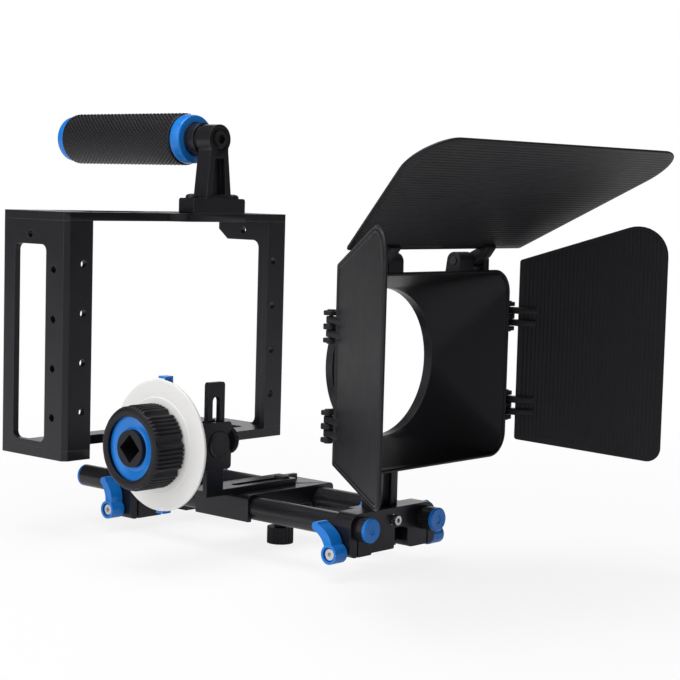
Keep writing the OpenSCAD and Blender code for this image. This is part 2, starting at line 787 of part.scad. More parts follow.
module ff_gearbox() {
  color(black) difference() {
    union() {
      slab_y(rounded_rect(box_x0, box_z0, box_x1, box_z1, 2.5), box_y0, box_y1);
      block([box_x0 + 6, box_y0 + 3, box_z1 - 1], [box_x1 - 8, box_y1 - 3, box_z1 + 1.2]);
    }
    block([leg_x - leg_half - slide_gap, br_y0 - slide_gap, box_z0 - 1],
      [leg_x + leg_half + slide_gap, br_y0 + leg_t + slide_gap, box_z1 + 3]);
    round_x(cavity_r, box_x0 - 1, gear_x - 2, focus_y, focus_h);
    round_y(cavity_r, focus_y, box_y1 - 4.4, gear_x, focus_h);
    round_y(spin_r + fit, focus_y, box_y1 + 1, gear_x, focus_h);
    round_y(pin_r + fit, box_y0 - 1, focus_y - 1, leg_x, pin_z);
    round_x(2 + fit, leg_x + leg_half - 1, box_x1 + 1, lock_y, lock_z);
    for (s = [-1, 1]) round_x(1.2 + fit, box_x0 - 1, box_x0 + 7, focus_y, focus_h + s * 10.2);
  }
}

module ff_guide_pin() {
  color(dark) {
    turn_y([[0, box_y0 - 1.4], [7.9, box_y0 - 1.4], [8.5, box_y0 - 0.8], [8.5, box_y0], [0, box_y0]],
      leg_x, 0, pin_z);
    round_y(pin_r, box_y0 - eps, focus_y - 1.6, leg_x, pin_z);
  }
}

module ff_lock_knob() {
  color(dark) {
    translate([box_x1 + 0.2, lock_y, lock_z]) rotate([0, 90, 0]) linear_extrude(height = lock_t)
      polygon([for (i = [0:71]) let (r = lock_r - (i % 2) * 0.6) [r * cos(i * 5), r * sin(i * 5)]]);
    round_x(2, leg_x + leg_half + 0.15, box_x1 + 0.2 + eps, lock_y, lock_z);
  }
}

module ff_bearing() {
  color(steel) difference() {
    union() {
      round_x(12.5, pointer_x + pointer_t, box_x0, focus_y, focus_h);
      round_x(cavity_r - fit, box_x0 - eps, box_x0 + 8, focus_y, focus_h);
    }
    round_x(spin_r + fit, pointer_x, box_x0 + 9, focus_y, focus_h);
    for (s = [-1, 1]) round_x(1.2 + fit, pointer_x, box_x0 + 1, focus_y, focus_h + s * 10.2);
  }
}

module ff_pointer() {
  x1 = pointer_x + pointer_t;
  color(blue) difference() {
    union() {
      block([pointer_x, focus_y - tab_half, focus_h - pointer_half - 1.5],
        [x1, focus_y + tab_half, focus_h + pointer_half + 1.5]);
      block([pointer_x - tab_reach, focus_y - tab_half, focus_h + pointer_half],
        [x1, focus_y + tab_half, focus_h + pointer_half + 1.5]);
      block([pointer_x - tab_reach, focus_y - tab_half, focus_h - pointer_half - 1.5],
        [x1, focus_y + tab_half, focus_h - pointer_half]);
      round_x(12.5, pointer_x, x1, focus_y, focus_h);
    }
    round_x(spin_r + 0.5, pointer_x - 1, x1 + 1, focus_y, focus_h);
    for (s = [-1, 1]) round_x(1.2 + fit, pointer_x - 1, x1 + 1, focus_y, focus_h + s * 10.2);
  }
}

module ff_pointer_screws() {
  color(steel) for (s = [-1, 1]) {
    round_x(2, pointer_x - 0.8, pointer_x, focus_y, focus_h + s * 10.2);
    round_x(1.2, pointer_x - eps, box_x0 + 6, focus_y, focus_h + s * 10.2);
  }
}

module ff_disc() {
  color(white) turn_x([
    [spin_r + fit, 0], [disc_r - 11.1, 0], [disc_r - 10.6, 0.5], [disc_r - 1, 1.5],
    [disc_r, 1.9], [disc_r, 3.5], [spin_r + fit, 3.5]], disc_x, focus_y, focus_h);
}

// Barrel outline: eight finger scallops with four ridges between neighbours
function barrel_radius(a) =
  let (p = abs((a % 45 + 45) % 45 - 22.5))
  p > 15.5 ? knob_r - 1.7 * cos((22.5 - p) / 7 * 90) : knob_r - 0.3 + 0.3 * cos(p * 360 / 7.75 + 180);

module ff_knob() {
  color(black) translate([0, focus_y, focus_h]) rotate([0, 90, 0]) difference() {
    union() {
      translate([0, 0, knob_x + 1.2]) linear_extrude(height = knob_len - 2.2)
        polygon([for (a = [0:1.25:358.75]) barrel_radius(a) * [cos(a), sin(a)]]);
      translate([0, 0, knob_x]) cylinder(h = 1.2 + eps, r1 = knob_r - 2.6, r2 = knob_r - 1.9);
      translate([0, 0, barrel_x - 1 - eps]) cylinder(h = 1 + eps, r = knob_r - 2);
      translate([0, 0, barrel_x - eps]) cylinder(h = disc_x - barrel_x + eps, r = knob_r - 6);
    }
    translate([0, 0, knob_x - 1]) cylinder(h = 15, r = insert_r + fit);
    translate([0, 0, knob_x]) cylinder(h = hub_len, r = hub_r + fit);
    translate([0, 0, knob_x]) cylinder(h = knob_len + 10, r = spin_r + fit);
  }
}

module ff_knob_ring() {
  color(blue) turn_x([
    [insert_r, 1], [insert_r - 0.6, 0.5], [insert_r - 3.8, 0.5], [insert_r - 4.2, 1.6],
    [insert_r - 6.6, 2], [insert_r - 7, 3], [hub_r + 0.1, 3.2], [hub_r + 0.1, 14],
    [insert_r, 14]], knob_x, focus_y, focus_h);
}

module ff_shaft() {
  color(dark) difference() {
    union() {
      round_x(hub_r, knob_x + 0.6, knob_x + hub_len, focus_y, focus_h);
      round_x(spin_r, knob_x + hub_len - eps, gear_x - 9, focus_y, focus_h);
      round_x(2.5, gear_x - 9 - eps, gear_x - miter_r + miter_face - 0.1, focus_y, focus_h);
    }
    translate([knob_x - 1, focus_y, focus_h]) rotate([45, 0, 0])
      translate([0, -socket / 2, -socket / 2]) cube([15, socket, socket]);
  }
}

// Straight miter gear: large end at z = 0, teeth running to the apex at z = miter_r
module miter(turn) {
  step = 360 / miter_n;
  linear_extrude(height = miter_face, scale = (miter_r - miter_face) / miter_r)
    rotate(turn) polygon([for (i = [0:miter_n - 1]) each [
      6.05 * [cos(i * step - 7.2), sin(i * step - 7.2)],
      7.65 * [cos(i * step - 2.3), sin(i * step - 2.3)],
      7.65 * [cos(i * step + 2.3), sin(i * step + 2.3)],
      6.05 * [cos(i * step + 7.2), sin(i * step + 7.2)]]]);
}

module ff_pinion() {
  color(steel) difference() {
    union() {
      translate([gear_x - miter_r, focus_y, focus_h]) rotate([0, 90, 0]) miter(0);
      round_x(5.5, gear_x - 9, gear_x - miter_r + 0.2, focus_y, focus_h);
    }
    round_x(2.5 + fit, gear_x - 10, gear_x, focus_y, focus_h);
  }
}

module ff_gear() {
  r = gear_teeth * gear_m / 2;
  step = 360 / gear_teeth;
  color(dark) difference() {
    union() {
      translate([gear_x, gear_y + gear_t, focus_h]) rotate([90, 0, 0]) linear_extrude(height = gear_t)
        polygon([for (i = [0:gear_teeth - 1]) each [
          (r - 1) * [cos((i - 0.34) * step), sin((i - 0.34) * step)],
          (r + 0.8) * [cos((i - 0.13) * step), sin((i - 0.13) * step)],
          (r + 0.8) * [cos((i + 0.13) * step), sin((i + 0.13) * step)],
          (r - 1) * [cos((i + 0.34) * step), sin((i + 0.34) * step)]]]);
      round_y(7, box_y1 + 0.1, gear_y + eps, gear_x, focus_h);
      round_y(spin_r, box_y1 - 4.2, box_y1 + 0.1 + eps, gear_x, focus_h);
      round_y(2.5, focus_y + 4.6, box_y1 - 4.2 + eps, gear_x, focus_h);
    }
    round_y(1.5 + fit, box_y1 - 2, gear_y + gear_t + 1, gear_x, focus_h);
    turn_y([[9, gear_t - 1.2], [r - 3, gear_t - 1.2], [r - 3, gear_t + 1], [9, gear_t + 1]],
      gear_x, gear_y, focus_h);
  }
}

module ff_gear_bevel() {
  color(steel) difference() {
    union() {
      translate([gear_x, focus_y + miter_r, focus_h]) rotate([90, 0, 0]) miter(180 / miter_n);
      round_y(5.5, focus_y + miter_r - 0.2, box_y1 - 4.5, gear_x, focus_h);
    }
    round_y(2.5 + fit, focus_y, box_y1, gear_x, focus_h);
  }
}

module ff_gear_screw() {
  color(steel) difference() {
    union() {
      turn_y([[0, 0], [4, 0], [4, 0.6], [3, 1.5], [1.4, 2], [0, 2.1]],
        gear_x, gear_y + gear_t, focus_h);
      round_y(1.5, box_y1 - 1, gear_y + gear_t + eps, gear_x, focus_h);
    }
    translate([gear_x, gear_y + gear_t + 3, focus_h]) rotate([90, 0, 0]) cylinder(h = 2.4, r = 1.2, $fn = 6);
  }
}

// ---- matte box rod clamp ----

module front_clamp() {
  color(black) difference() {
    slab_y(rounded([
      [-clamp_half, clamp_z0], [-21, clamp_z0], [-20, clamp_z0 + 1.1], [1, clamp_z0 + 1.1],
      [1, rod_h - 3], [14, rod_h - 3], [14, clamp_z0], [clamp_half, clamp_z0],
      [clamp_half, clamp_z1], [-clamp_half, clamp_z1]],
      [5, 0.4, 0.4, 1, 1, 3, 4, 5, 8, 8]), clamp_y, clamp_y1);
    for (s = [-1, 1]) {
      round_y(bore_r, clamp_y - 1, clamp_y1 + 1, s * rod_x, rod_h);
      translate([s * slit_x - slit_w / 2, clamp_y - 1, clamp_z0 - 1]) cube([slit_w, clamp_d + 2, 17]);
      round_y(2 + fit, clamp_y + 4, clamp_y1 + 1, s * 15.5, rod_h + 4);
    }
    block([-post_half - slide_gap, post_y0 - slide_gap, clamp_z0 - 1],
      [post_half + slide_gap, clamp_y1 + 1, clamp_z1 + 1]);
    round_y(3.5 + fit, clamp_y - 1, post_y0, 0, rod_h + 2);
    round_x(stud_r + fit, -clamp_half - 1, -rod_x, front_hub_y, front_hub_z);
    round_x(stud_r + fit, rod_x, clamp_half + 1, front_hub_y, front_hub_z);
  }
}

module front_clamp_screw() {
  color(steel) difference() {
    union() {
      round_y(3.5, clamp_y + 0.8, post_y0 - slide_gap - 0.2, 0, rod_h + 2);
      round_y(3, clamp_y - 3.8, clamp_y + 0.8 + eps, 0, rod_h + 2);
    }
    translate([0, clamp_y - 1.6, rod_h + 2]) rotate([90, 0, 0]) cylinder(h = 4, r = 1.5, $fn = 6);
  }
}

module front_lever_near() {
  color(blue) on_side(-1, clamp_half, front_hub_y, front_hub_z, front_tilt_near) lever(boss_t);
}

module front_lever_far() {
  color(blue) on_side(1, clamp_half, front_hub_y, front_hub_z, front_tilt_far) lever(boss_t);
}

module front_lever_screws() {
  color(steel) {
    on_side(-1, clamp_half, front_hub_y, front_hub_z, front_tilt_near) lever_stud(boss_t, 9);
    on_side(1, clamp_half, front_hub_y, front_hub_z, front_tilt_far) lever_stud(boss_t, 9);
  }
}

module post_keeper() {
  color(black) difference() {
    slab_y(rounded_rect(-keeper_half, post_z0, keeper_half, clamp_z1 - 0.6, 2), clamp_y1, keeper_y1);
    block([-post_half - slide_gap, clamp_y1 - 1, post_z0 - 1],
      [post_half + slide_gap, post_y1 + slide_gap, clamp_z1 + 1]);
    for (s = [-1, 1]) {
      round_y(2 + fit, clamp_y1 - 1, keeper_y1 + 1, s * 15.5, rod_h + 4);
      round_y(3.4 + fit, keeper_y1 - 2, keeper_y1 + 1, s * 15.5, rod_h + 4);
    }
    round_y(stud_r + fit, clamp_y1, keeper_y1 + 1, 0, rod_h - 12);
  }
}

module keeper_screws() {
  color(steel) for (s = [-1, 1]) difference() {
    union() {
      round_y(3.4, keeper_y1 - 2, keeper_y1, s * 15.5, rod_h + 4);
      round_y(2, clamp_y + 5, keeper_y1 - 2 + eps, s * 15.5, rod_h + 4);
    }
    translate([s * 15.5, keeper_y1 + 1, rod_h + 4]) rotate([90, 0, 0]) cylinder(h = 2.4, r = 1.5, $fn = 6);
  }
}

module post_lever() {
  color(blue) translate([0, keeper_y1, rod_h - 12]) rotate([0, post_tilt, 0]) rotate([90, 0, 180]) lever(boss_t);
}

module post_lever_screw() {
  color(steel) translate([0, keeper_y1, rod_h - 12]) rotate([0, post_tilt, 0]) rotate([90, 0, 180])
    lever_stud(boss_t, keeper_y1 - post_y1 - slide_gap - 0.1);
}

module mb_post() {
  color(black) difference() {
    block([-post_half, post_y0, post_z0], [post_half, post_y1, post_z1]);
    block([-4, post_y0 - 1, post_z0 - 1], [4, post_y0 + 3, lug_z0 - 4]);
    block([-post_half - 1, ring_y0, lug_z0 - 0.2], [post_half + 1, post_y1 + 1, post_z1 + 1]);
    for (s = [-1, 1]) round_y(1.6 + fit, post_y0 + 1, ring_y0 + 1, s * 6, lug_z0 + 5.5);
  }
}

module mb_post_screws() {
  color(steel) for (s = [-1, 1]) {
    round_y(2.8, ring_y1, ring_y1 + 1.6, s * 6, lug_z0 + 5.5);
    round_y(1.6, post_y0 + 1.5, ring_y1 + eps, s * 6, lug_z0 + 5.5);
  }
}

module lens_ring() {
  color(black) difference() {
    union() {
      turn_y([[lens_r, ring_y0], [ring_r, ring_y0], [ring_r, ring_y1 - 0.8],
        [ring_r - 0.8, ring_y1], [lens_r, ring_y1]], 0, 0, lens_h);
      slab_y(rounded_rect(-13, lug_z0, 13, lens_h - lens_r - 1, 1.5), ring_y0, ring_y1);
    }
    for (s = [-1, 1]) round_y(1.6 + fit, ring_y0 - 1, ring_y1 + 1, s * 6, lug_z0 + 5.5);
  }
}

// ---- shade and flags ----

module rim_slab(inset, y0, y1) {
  slab_y(rounded_rect(-shade_w + inset, shade_z - shade_h / 2 + inset,
    shade_w - inset, shade_z + shade_h / 2 - inset, shade_corner - inset), y0, y1);
}

module shade() {
  color(dark) difference() {
    union() {
      hull() {
        rim_slab(0, shade_y, shade_y + rim_d);
        round_y(shade_back, ring_y0 - 1, ring_y0, 0, lens_h);
      }
      for (s = [-1, 1], z = hinge_z, l = ear_levels) {
        round_z(ear_r, z + l[0], z + l[1], s * hinge_x, hinge_y);
        slab_z([
          [s * (shade_w - 13), hinge_y - 3.6], [s * hinge_x, hinge_y - ear_r],
          [s * hinge_x, hinge_y + ear_r], [s * (shade_w - 13), hinge_y + 5.5]],
          z + l[0], z + l[1]);
      }
      for (s = [-1, 1], e = top_ears) {
        x0 = s > 0 ? e[0] : -e[1];
        x1 = s > 0 ? e[1] : -e[0];
        round_x(5.4, x0, x1, top_pin_y, top_pin_z);
        slab_x([
          [top_pin_y - 5.4, top_pin_z], [top_pin_y - 5.4, top_pin_z - 10],
          [top_pin_y + 7, top_pin_z - 12], [top_pin_y + 5.4, top_pin_z]], x0, x1);
      }
    }
    hull() {
      rim_slab(2.2, shade_y - 1, shade_y + rim_d);
      round_y(lens_r, ring_y0 - 1, ring_y0 + 0.2, 0, lens_h);
    }
    for (s = [-1, 1], z = hinge_z) round_z(hinge_pin_r + fit, z - 20, z + 20, s * hinge_x, hinge_y);
    for (s = [-1, 1]) {
      round_x(hinge_pin_r + fit, s * 42 - 20, s * 42 + 20, top_pin_y, top_pin_z);
    }
  }
}

module side_hinge_pins() {
  color(dark) for (s = [-1, 1], z = hinge_z) {
    low = z + ear_levels[0][0];
    high = z + ear_levels[2][1];
    round_z(hinge_pin_r, low - eps, high + eps, s * hinge_x, hinge_y);
    round_z(2.3, high, high + pin_head, s * hinge_x, hinge_y);
    round_z(2.3, low - pin_head, low, s * hinge_x, hinge_y);
  }
}

module top_hinge_pins() {
  color(dark) for (s = [-1, 1]) {
    a = s > 0 ? top_ear_x0 : -top_ear_x1;
    b = s > 0 ? top_ear_x1 : -top_ear_x0;
    round_x(hinge_pin_r, a - eps, b + eps, top_pin_y, top_pin_z);
    round_x(2.5, a - pin_head, a, top_pin_y, top_pin_z);
    round_x(2.5, b, b + pin_head, top_pin_y, top_pin_z);
  }
}

// Half heights of a side flag at distance w from its hinge edge
function side_low(w) = -side_flag_half - 11.5 * w / side_flag_w;
function side_high(w) = side_flag_half + 31.1 * w / side_flag_w;
// How much a rounded outer corner of radius r takes off the edge at distance w
function corner_loss(w, total, r) =
  w < total - r ? 0 : r - sqrt(max(0, r * r - (w - total + r) * (w - total + r)));

// Side flag in its own plane: hinge edge on x = 0, width along +x, height along y,
// outer face at z = -plate_t - rib_t, ribbed inner face at z = 0
module side_plate() {
  translate([0, 0, -plate_t - rib_t]) linear_extrude(height = plate_t) polygon(rounded([
    [0, side_low(0)], [side_flag_w, side_low(side_flag_w)],
    [side_flag_w, side_high(side_flag_w)], [0, side_high(0)]], [2, 8.5, 19, 2]));
  for (w = [4:rib_pitch:side_flag_w - 4]) {
    y0 = side_low(w) + 2.5 + corner_loss(w + rib_w, side_flag_w, 10);
    y1 = side_high(w) - 2.5 - corner_loss(w + rib_w, side_flag_w, 21);
    translate([w, y0, -rib_t - eps]) cube([rib_w, y1 - y0, rib_t + eps]);
  }
}

// Flag on the +X side with its four hinge prongs
module side_flag() {
  d = [sin(flag_angle), -cos(flag_angle)];
  n = [-cos(flag_angle), -sin(flag_angle)];
  e = [flag_x, flag_y];
  p = [hinge_x, hinge_y];
  difference() {
    union() {
      translate([flag_x, flag_y, flag_z]) rotate([0, 0, flag_angle - 90]) rotate([90, 0, 0]) side_plate();
      for (z = hinge_z, s = [-1, 1]) {
        z0 = s > 0 ? z + prong_z0 : z - prong_z0 - prong_t;
        round_z(eye_radius, z0, z0 + prong_t, p[0], p[1]);
        slab_z([
          p + [eye_radius, 0], p - [eye_radius, 0], e + n * 3, e + d * 11.5 + n * 1.6,
          e + d * 11.5 - n * 1.2, e - n * 1.8], z0, z0 + prong_t);
      }
    }
    for (z = hinge_z) round_z(hinge_pin_r + fit, z - 20, z + 20, p[0], p[1]);
  }
}

module flag_right() {
  color(black) side_flag();
}

module flag_left() {
  color(dark) mirror([1, 0, 0]) side_flag();
}

module flag_top() {
  c = cos(flag_angle);
  t = sin(flag_angle);
  d = [-c, t];
  n = [-t, -c];
  e = [top_flag_y, top_flag_z];
  p = [top_pin_y, top_pin_z];
  q = unit(e - p);
  m = [-q[1], q[0]];
  out = top_flag_flare / top_flag_w;
  color(black) difference() {
    union() {
      translate([1.5, top_flag_y, top_flag_z]) rotate([180 - flag_angle, 0, 0]) {
        translate([0, 0, -plate_t - rib_t]) linear_extrude(height = plate_t) polygon(rounded([
          [-top_flag_half, 0], [top_flag_half, 0], [top_flag_half + top_flag_flare, top_flag_w],
          [-top_flag_half - top_flag_flare, top_flag_w]],
          [3, 3, 22, 22]));
        for (w = [4:rib_pitch:top_flag_w - 4]) {
          half = top_flag_half + out * w - 3 - corner_loss(w + rib_w, top_flag_w, 25);
          translate([-half, w, -rib_t - eps]) cube([2 * half, rib_w, rib_t + eps]);
        }
      }
      for (s = [-1, 1]) {
        x0 = s > 0 ? top_arm_x0 : -top_arm_x1;
        round_x(4, x0, x0 + 10, p[0], p[1]);
        slab_x([
          p + 4 * m, e + n * 4.5, e + d * 6.5 + n * 2, e + d * 6.5 - n * 1.1,
          e - n * 1.8, p - 4 * m], x0, x0 + 10);
      }
    }
    for (s = [-1, 1]) round_x(hinge_pin_r + fit, s * 46 - 20, s * 46 + 20, p[0], p[1]);
  }
}

set_down() cage_top();
set_down() cage_bottom();
set_down() cage_side_near();
set_down() cage_side_far();
set_down() cage_screws();
set_down() camera_screw();
set_down() handle_post();
set_down() handle_screws();
set_down() handle_washer();
set_down() handle_bolt();
set_down() handle_core();
set_down() handle_ring();
set_down() handle_grip();
set_down() handle_cap();
set_down() rear_clamp();
set_down() rear_clamp_screws();
set_down() rear_lever_near();
set_down() rear_lever_far();
set_down() rear_lever_screws();
set_down() rods();
set_down() rod_plugs();
set_down() ff_clamp();
set_down() ff_thumbscrew();
set_down() ff_nut();
set_down() ff_bracket();
set_down() ff_gearbox();
set_down() ff_guide_pin();
set_down() ff_lock_knob();
set_down() ff_bearing();
set_down() ff_pointer();
set_down() ff_pointer_screws();
set_down() ff_disc();
set_down() ff_knob();
set_down() ff_knob_ring();
set_down() ff_shaft();
set_down() ff_pinion();
set_down() ff_gear();
set_down() ff_gear_bevel();
set_down() ff_gear_screw();
set_down() front_clamp();
set_down() front_clamp_screw();
set_down() front_lever_near();
set_down() front_lever_far();
set_down() front_lever_screws();
set_down() post_keeper();
set_down() keeper_screws();
set_down() post_lever();
set_down() post_lever_screw();
set_down() mb_post();
set_down() mb_post_screws();
set_down() lens_ring();
set_down() shade();
set_down() side_hinge_pins();
set_down() top_hinge_pins();
set_down() flag_left();
set_down() flag_right();
set_down() flag_top();
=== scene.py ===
import json
import math

import bmesh
import bpy
import numpy as np
from mathutils import Matrix, Vector

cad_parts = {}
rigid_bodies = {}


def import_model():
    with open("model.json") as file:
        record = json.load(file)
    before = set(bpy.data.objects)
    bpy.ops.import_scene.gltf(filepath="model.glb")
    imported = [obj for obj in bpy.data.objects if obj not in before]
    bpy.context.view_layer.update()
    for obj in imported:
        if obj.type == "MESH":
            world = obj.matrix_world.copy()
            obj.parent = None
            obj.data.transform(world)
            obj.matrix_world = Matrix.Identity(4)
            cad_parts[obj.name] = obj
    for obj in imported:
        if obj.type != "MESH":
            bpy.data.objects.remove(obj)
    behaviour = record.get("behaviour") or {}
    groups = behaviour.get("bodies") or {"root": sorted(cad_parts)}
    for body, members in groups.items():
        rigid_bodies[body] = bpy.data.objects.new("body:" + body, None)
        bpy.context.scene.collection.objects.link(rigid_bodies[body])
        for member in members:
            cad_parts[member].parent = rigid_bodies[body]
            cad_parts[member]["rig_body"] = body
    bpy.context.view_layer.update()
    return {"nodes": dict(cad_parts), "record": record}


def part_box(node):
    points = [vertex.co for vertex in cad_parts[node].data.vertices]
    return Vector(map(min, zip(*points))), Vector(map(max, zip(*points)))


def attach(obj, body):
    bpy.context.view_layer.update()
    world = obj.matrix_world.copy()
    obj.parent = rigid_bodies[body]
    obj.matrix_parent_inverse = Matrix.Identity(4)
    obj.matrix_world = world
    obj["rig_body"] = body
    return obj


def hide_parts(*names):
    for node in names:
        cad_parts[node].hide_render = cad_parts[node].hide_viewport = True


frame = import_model()
MM = 0.001
FRONT_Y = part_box("cage_bottom")[0][1] / MM      # the cage's front plane, from which Y is counted below

# sizes shared with the solids, in millimetres
HANDLE_X, GRIP_Z, GRIP_R, GRIP_Y0, GRIP_Y1 = 28.5, 266.4, 18.3, 24.0, 139.5
FOCUS_Y, FOCUS_Z, KNOB_X, DISC_X = -92.0, 75.0, -124.0, -101.5
SHADE_Y, SHADE_Z, SHADE_W, SHADE_H, SHADE_CORNER = -223.3, 127.25, 78.7, 118.5, 15.0
RING_Y, LENS_Z, LENS_R = -187.0, 128.7, 45.7
HINGE_X, HINGE_Y, HINGE_ZS, PIN_R = 84.5, -217.5, (99.4, 156.4), 1.25
EAR_LEVELS = ((-9.1, -6.5), (-1.6, 1.6), (6.5, 9.1))
TOP_EARS = ((27.0, 40.7), (51.3, 56.5))
TOP_PIN_Y, TOP_PIN_Z = -217.0, 192.5
FLAG_X, FLAG_Y, FLAG_Z, TOP_FLAG_Z = 85.35, -225.0, 135.0, 199.0
FLAG_TURN = math.radians(33)
BLADE, FIRST_RIB, RIB_PITCH, SIDE_PITCHES, TOP_PITCHES = 1.4, 4.6, 2.5, 33, 42
GRIP_BORE = 12.05

# view in degrees, millimetres and pixels, card behind the object in metres
VIEW_AZIMUTH, VIEW_ELEVATION, VIEW_ROLL = -48.42, 4.89, 1.55
VIEW_DISTANCE, VIEW_ACROSS, VIEW_UP, TARGET_Z = 1208.37, 111.93, 100.73, 30
SENSOR, FOCAL_PIXELS, PICTURE_PIXELS = 36, 1746.01, 680
CARD_LEFT, CARD_RIGHT, CARD_TOP, CARD_BACK = -0.8, 0.9, 2.0, 3.2


# ---------------------------------------------------------------- finishes

def start_finish(name, colour, rough, metal=0.0, spec=0.5, gloss=(1, 1, 1)):
    """New node material: returns it, its tree and its Principled shader."""
    mat = bpy.data.materials.new(name)
    mat.use_nodes = True
    nt = mat.node_tree
    sh = nt.nodes["Principled BSDF"]
    sh.inputs["Base Color"].default_value = (*colour, 1)
    sh.inputs["Roughness"].default_value = rough
    sh.inputs["Metallic"].default_value = metal
    sh.inputs["Specular IOR Level"].default_value = spec
    sh.inputs["Specular Tint"].default_value = (*gloss, 1)
    return mat, nt, sh


def grain(nt, scale, detail=3.0, stretch=(1, 1, 1)):
    """Noise on Object coordinates, cells about 1/scale metres, stretched by axis."""
    co = nt.nodes.new("ShaderNodeTexCoord")
    mp = nt.nodes.new("ShaderNodeMapping")
    mp.inputs["Scale"].default_value = stretch
    no = nt.nodes.new("ShaderNodeTexNoise")
    no.inputs["Scale"].default_value = scale
    no.inputs["Detail"].default_value = detail
    nt.links.new(co.outputs["Object"], mp.inputs["Vector"])
    nt.links.new(mp.outputs["Vector"], no.inputs["Vector"])
    return no.outputs["Fac"]


def spread(nt, fac, low, high, a=0.3, b=0.7):
    """Maps a value from a..b onto low..high."""
    mr = nt.nodes.new("ShaderNodeMapRange")
    mr.inputs["From Min"].default_value = a
    mr.inputs["From Max"].default_value = b
    mr.inputs["To Min"].default_value = low
    mr.inputs["To Max"].default_value = high
    nt.links.new(fac, mr.inputs["Value"])
    return mr.outputs["Result"]


def tint(nt, fac, low, high):
    """Colour that runs from low to high with fac."""
    mx = nt.nodes.new("ShaderNodeMix")
    mx.data_type = "RGBA"
    mx.inputs["A"].default_value = (*low, 1)
    mx.inputs["B"].default_value = (*high, 1)
    nt.links.new(fac, mx.inputs["Factor"])
    return mx.outputs["Result"]


def edge_mask(nt, radius):
    """1 on sharp outer edges within radius, 0 on flats, and the rounded normal itself."""
    bv = nt.nodes.new("ShaderNodeBevel")
    bv.samples = 4
    bv.inputs["Radius"].default_value = radius
    ge = nt.nodes.new("ShaderNodeNewGeometry")
    dt = nt.nodes.new("ShaderNodeVectorMath")
    dt.operation = "DOT_PRODUCT"
    nt.links.new(bv.outputs["Normal"], dt.inputs[0])
    nt.links.new(ge.outputs["Normal"], dt.inputs[1])
    return spread(nt, dt.outputs["Value"], 1, 0, 0.80, 0.97), bv.outputs["Normal"]


def raise_grain(nt, sh, height, distance, strength=1.0, base=None):
    """Bump of the given height in metres on the shader's normal."""
    bp = nt.nodes.new("ShaderNodeBump")
    bp.inputs["Strength"].default_value = strength
    bp.inputs["Distance"].default_value = distance
    nt.links.new(height, bp.inputs["Height"])
    if base is not None:
        nt.links.new(base, bp.inputs["Normal"])
    nt.links.new(bp.outputs["Normal"], sh.inputs["Normal"])


def blasted_anodise(name, low, high, worn_edge_and_highlight, rough, metal, spec=0.5, radius=0.0006, pits=0.00002):
    """Bead-blasted anodised aluminium: cloudy tone, fine pitted grain, paler edges that are partly wear and
    partly a painted highlight.
    """
    mat, nt, sh = start_finish(name, low, rough, metal, spec, (0.92, 0.9, 1))
    body = tint(nt, spread(nt, grain(nt, 35, 4), 0, 1), low, high)
    edge, rounded = edge_mask(nt, radius)
    # edges painted paler, broken up by grain: partly wear, partly a painted highlight where edges catch the
    # light
    edge_wear_and_highlight = nt.nodes.new("ShaderNodeMath")
    edge_wear_and_highlight.operation = "MULTIPLY"
    nt.links.new(edge, edge_wear_and_highlight.inputs[0])
    nt.links.new(spread(nt, grain(nt, 160, 3), 0.15, 1.0), edge_wear_and_highlight.inputs[1])
    mx = nt.nodes.new("ShaderNodeMix")
    mx.data_type = "RGBA"
    mx.inputs["B"].default_value = (*worn_edge_and_highlight, 1)
    nt.links.new(edge_wear_and_highlight.outputs[0], mx.inputs["Factor"])
    nt.links.new(body, mx.inputs["A"])
    nt.links.new(mx.outputs["Result"], sh.inputs["Base Color"])
    nt.links.new(spread(nt, grain(nt, 220, 2), rough - 0.02, rough + 0.03), sh.inputs["Roughness"])
    raise_grain(nt, sh, grain(nt, 3200, 2), pits, 0.5, rounded)
    return mat


def moulded_plastic(name, low, high, edge_highlight, rough, depth=0.00005, spec=0.4):
    """Moulded plastic: spark-eroded grain with slightly uneven gloss, edges painted paler as a highlight.
    """
    mat, nt, sh = start_finish(name, low, rough, 0.0, spec, (0.94, 0.92, 1))
    edge, rounded = edge_mask(nt, 0.0004)
    body = tint(nt, spread(nt, grain(nt, 28, 4), 0, 1), low, high)
    # painted highlight: the edges take a paler colour, as if catching the light
    mx = nt.nodes.new("ShaderNodeMix")
    mx.data_type = "RGBA"
    mx.inputs["B"].default_value = (*edge_highlight, 1)
    nt.links.new(edge, mx.inputs["Factor"])
    nt.links.new(body, mx.inputs["A"])
    nt.links.new(mx.outputs["Result"], sh.inputs["Base Color"])
    nt.links.new(spread(nt, grain(nt, 120, 3), rough - 0.02, rough + 0.02), sh.inputs["Roughness"])
    raise_grain(nt, sh, grain(nt, 2600, 2), depth, 0.6, rounded)
    return mat


def drawn_tube(name, low, high, rough):
    """Anodised drawn tube: fine lines along Y and faint clouding."""
    mat, nt, sh = start_finish(name, low, rough, 0.5, 0.5)
    cloud = spread(nt, grain(nt, 60, 3, (1, 0.15, 1)), 0, 1)
    nt.links.new(tint(nt, cloud, low, high), sh.inputs["Base Color"])
    lines = grain(nt, 2600, 2, (1, 0.02, 1))
    nt.links.new(spread(nt, lines, rough - 0.05, rough + 0.08), sh.inputs["Roughness"])
    raise_grain(nt, sh, lines, 0.00002, 0.5)
    return mat


def turned_metal(name, low, high, rough, metal=1.0):
    """Turned steel: slightly stained tone, fine tool marks as stretched grain."""
    mat, nt, sh = start_finish(name, low, rough, metal, 0.5)
    nt.links.new(tint(nt, spread(nt, grain(nt, 90, 3), 0, 1), low, high), sh.inputs["Base Color"])
    nt.links.new(spread(nt, grain(nt, 900, 2), rough - 0.06, rough + 0.1), sh.inputs["Roughness"])
    _, rounded = edge_mask(nt, 0.0003)
    raise_grain(nt, sh, grain(nt, 5000, 2, (1, 1, 0.2)), 0.00002, 0.5, rounded)
    return mat


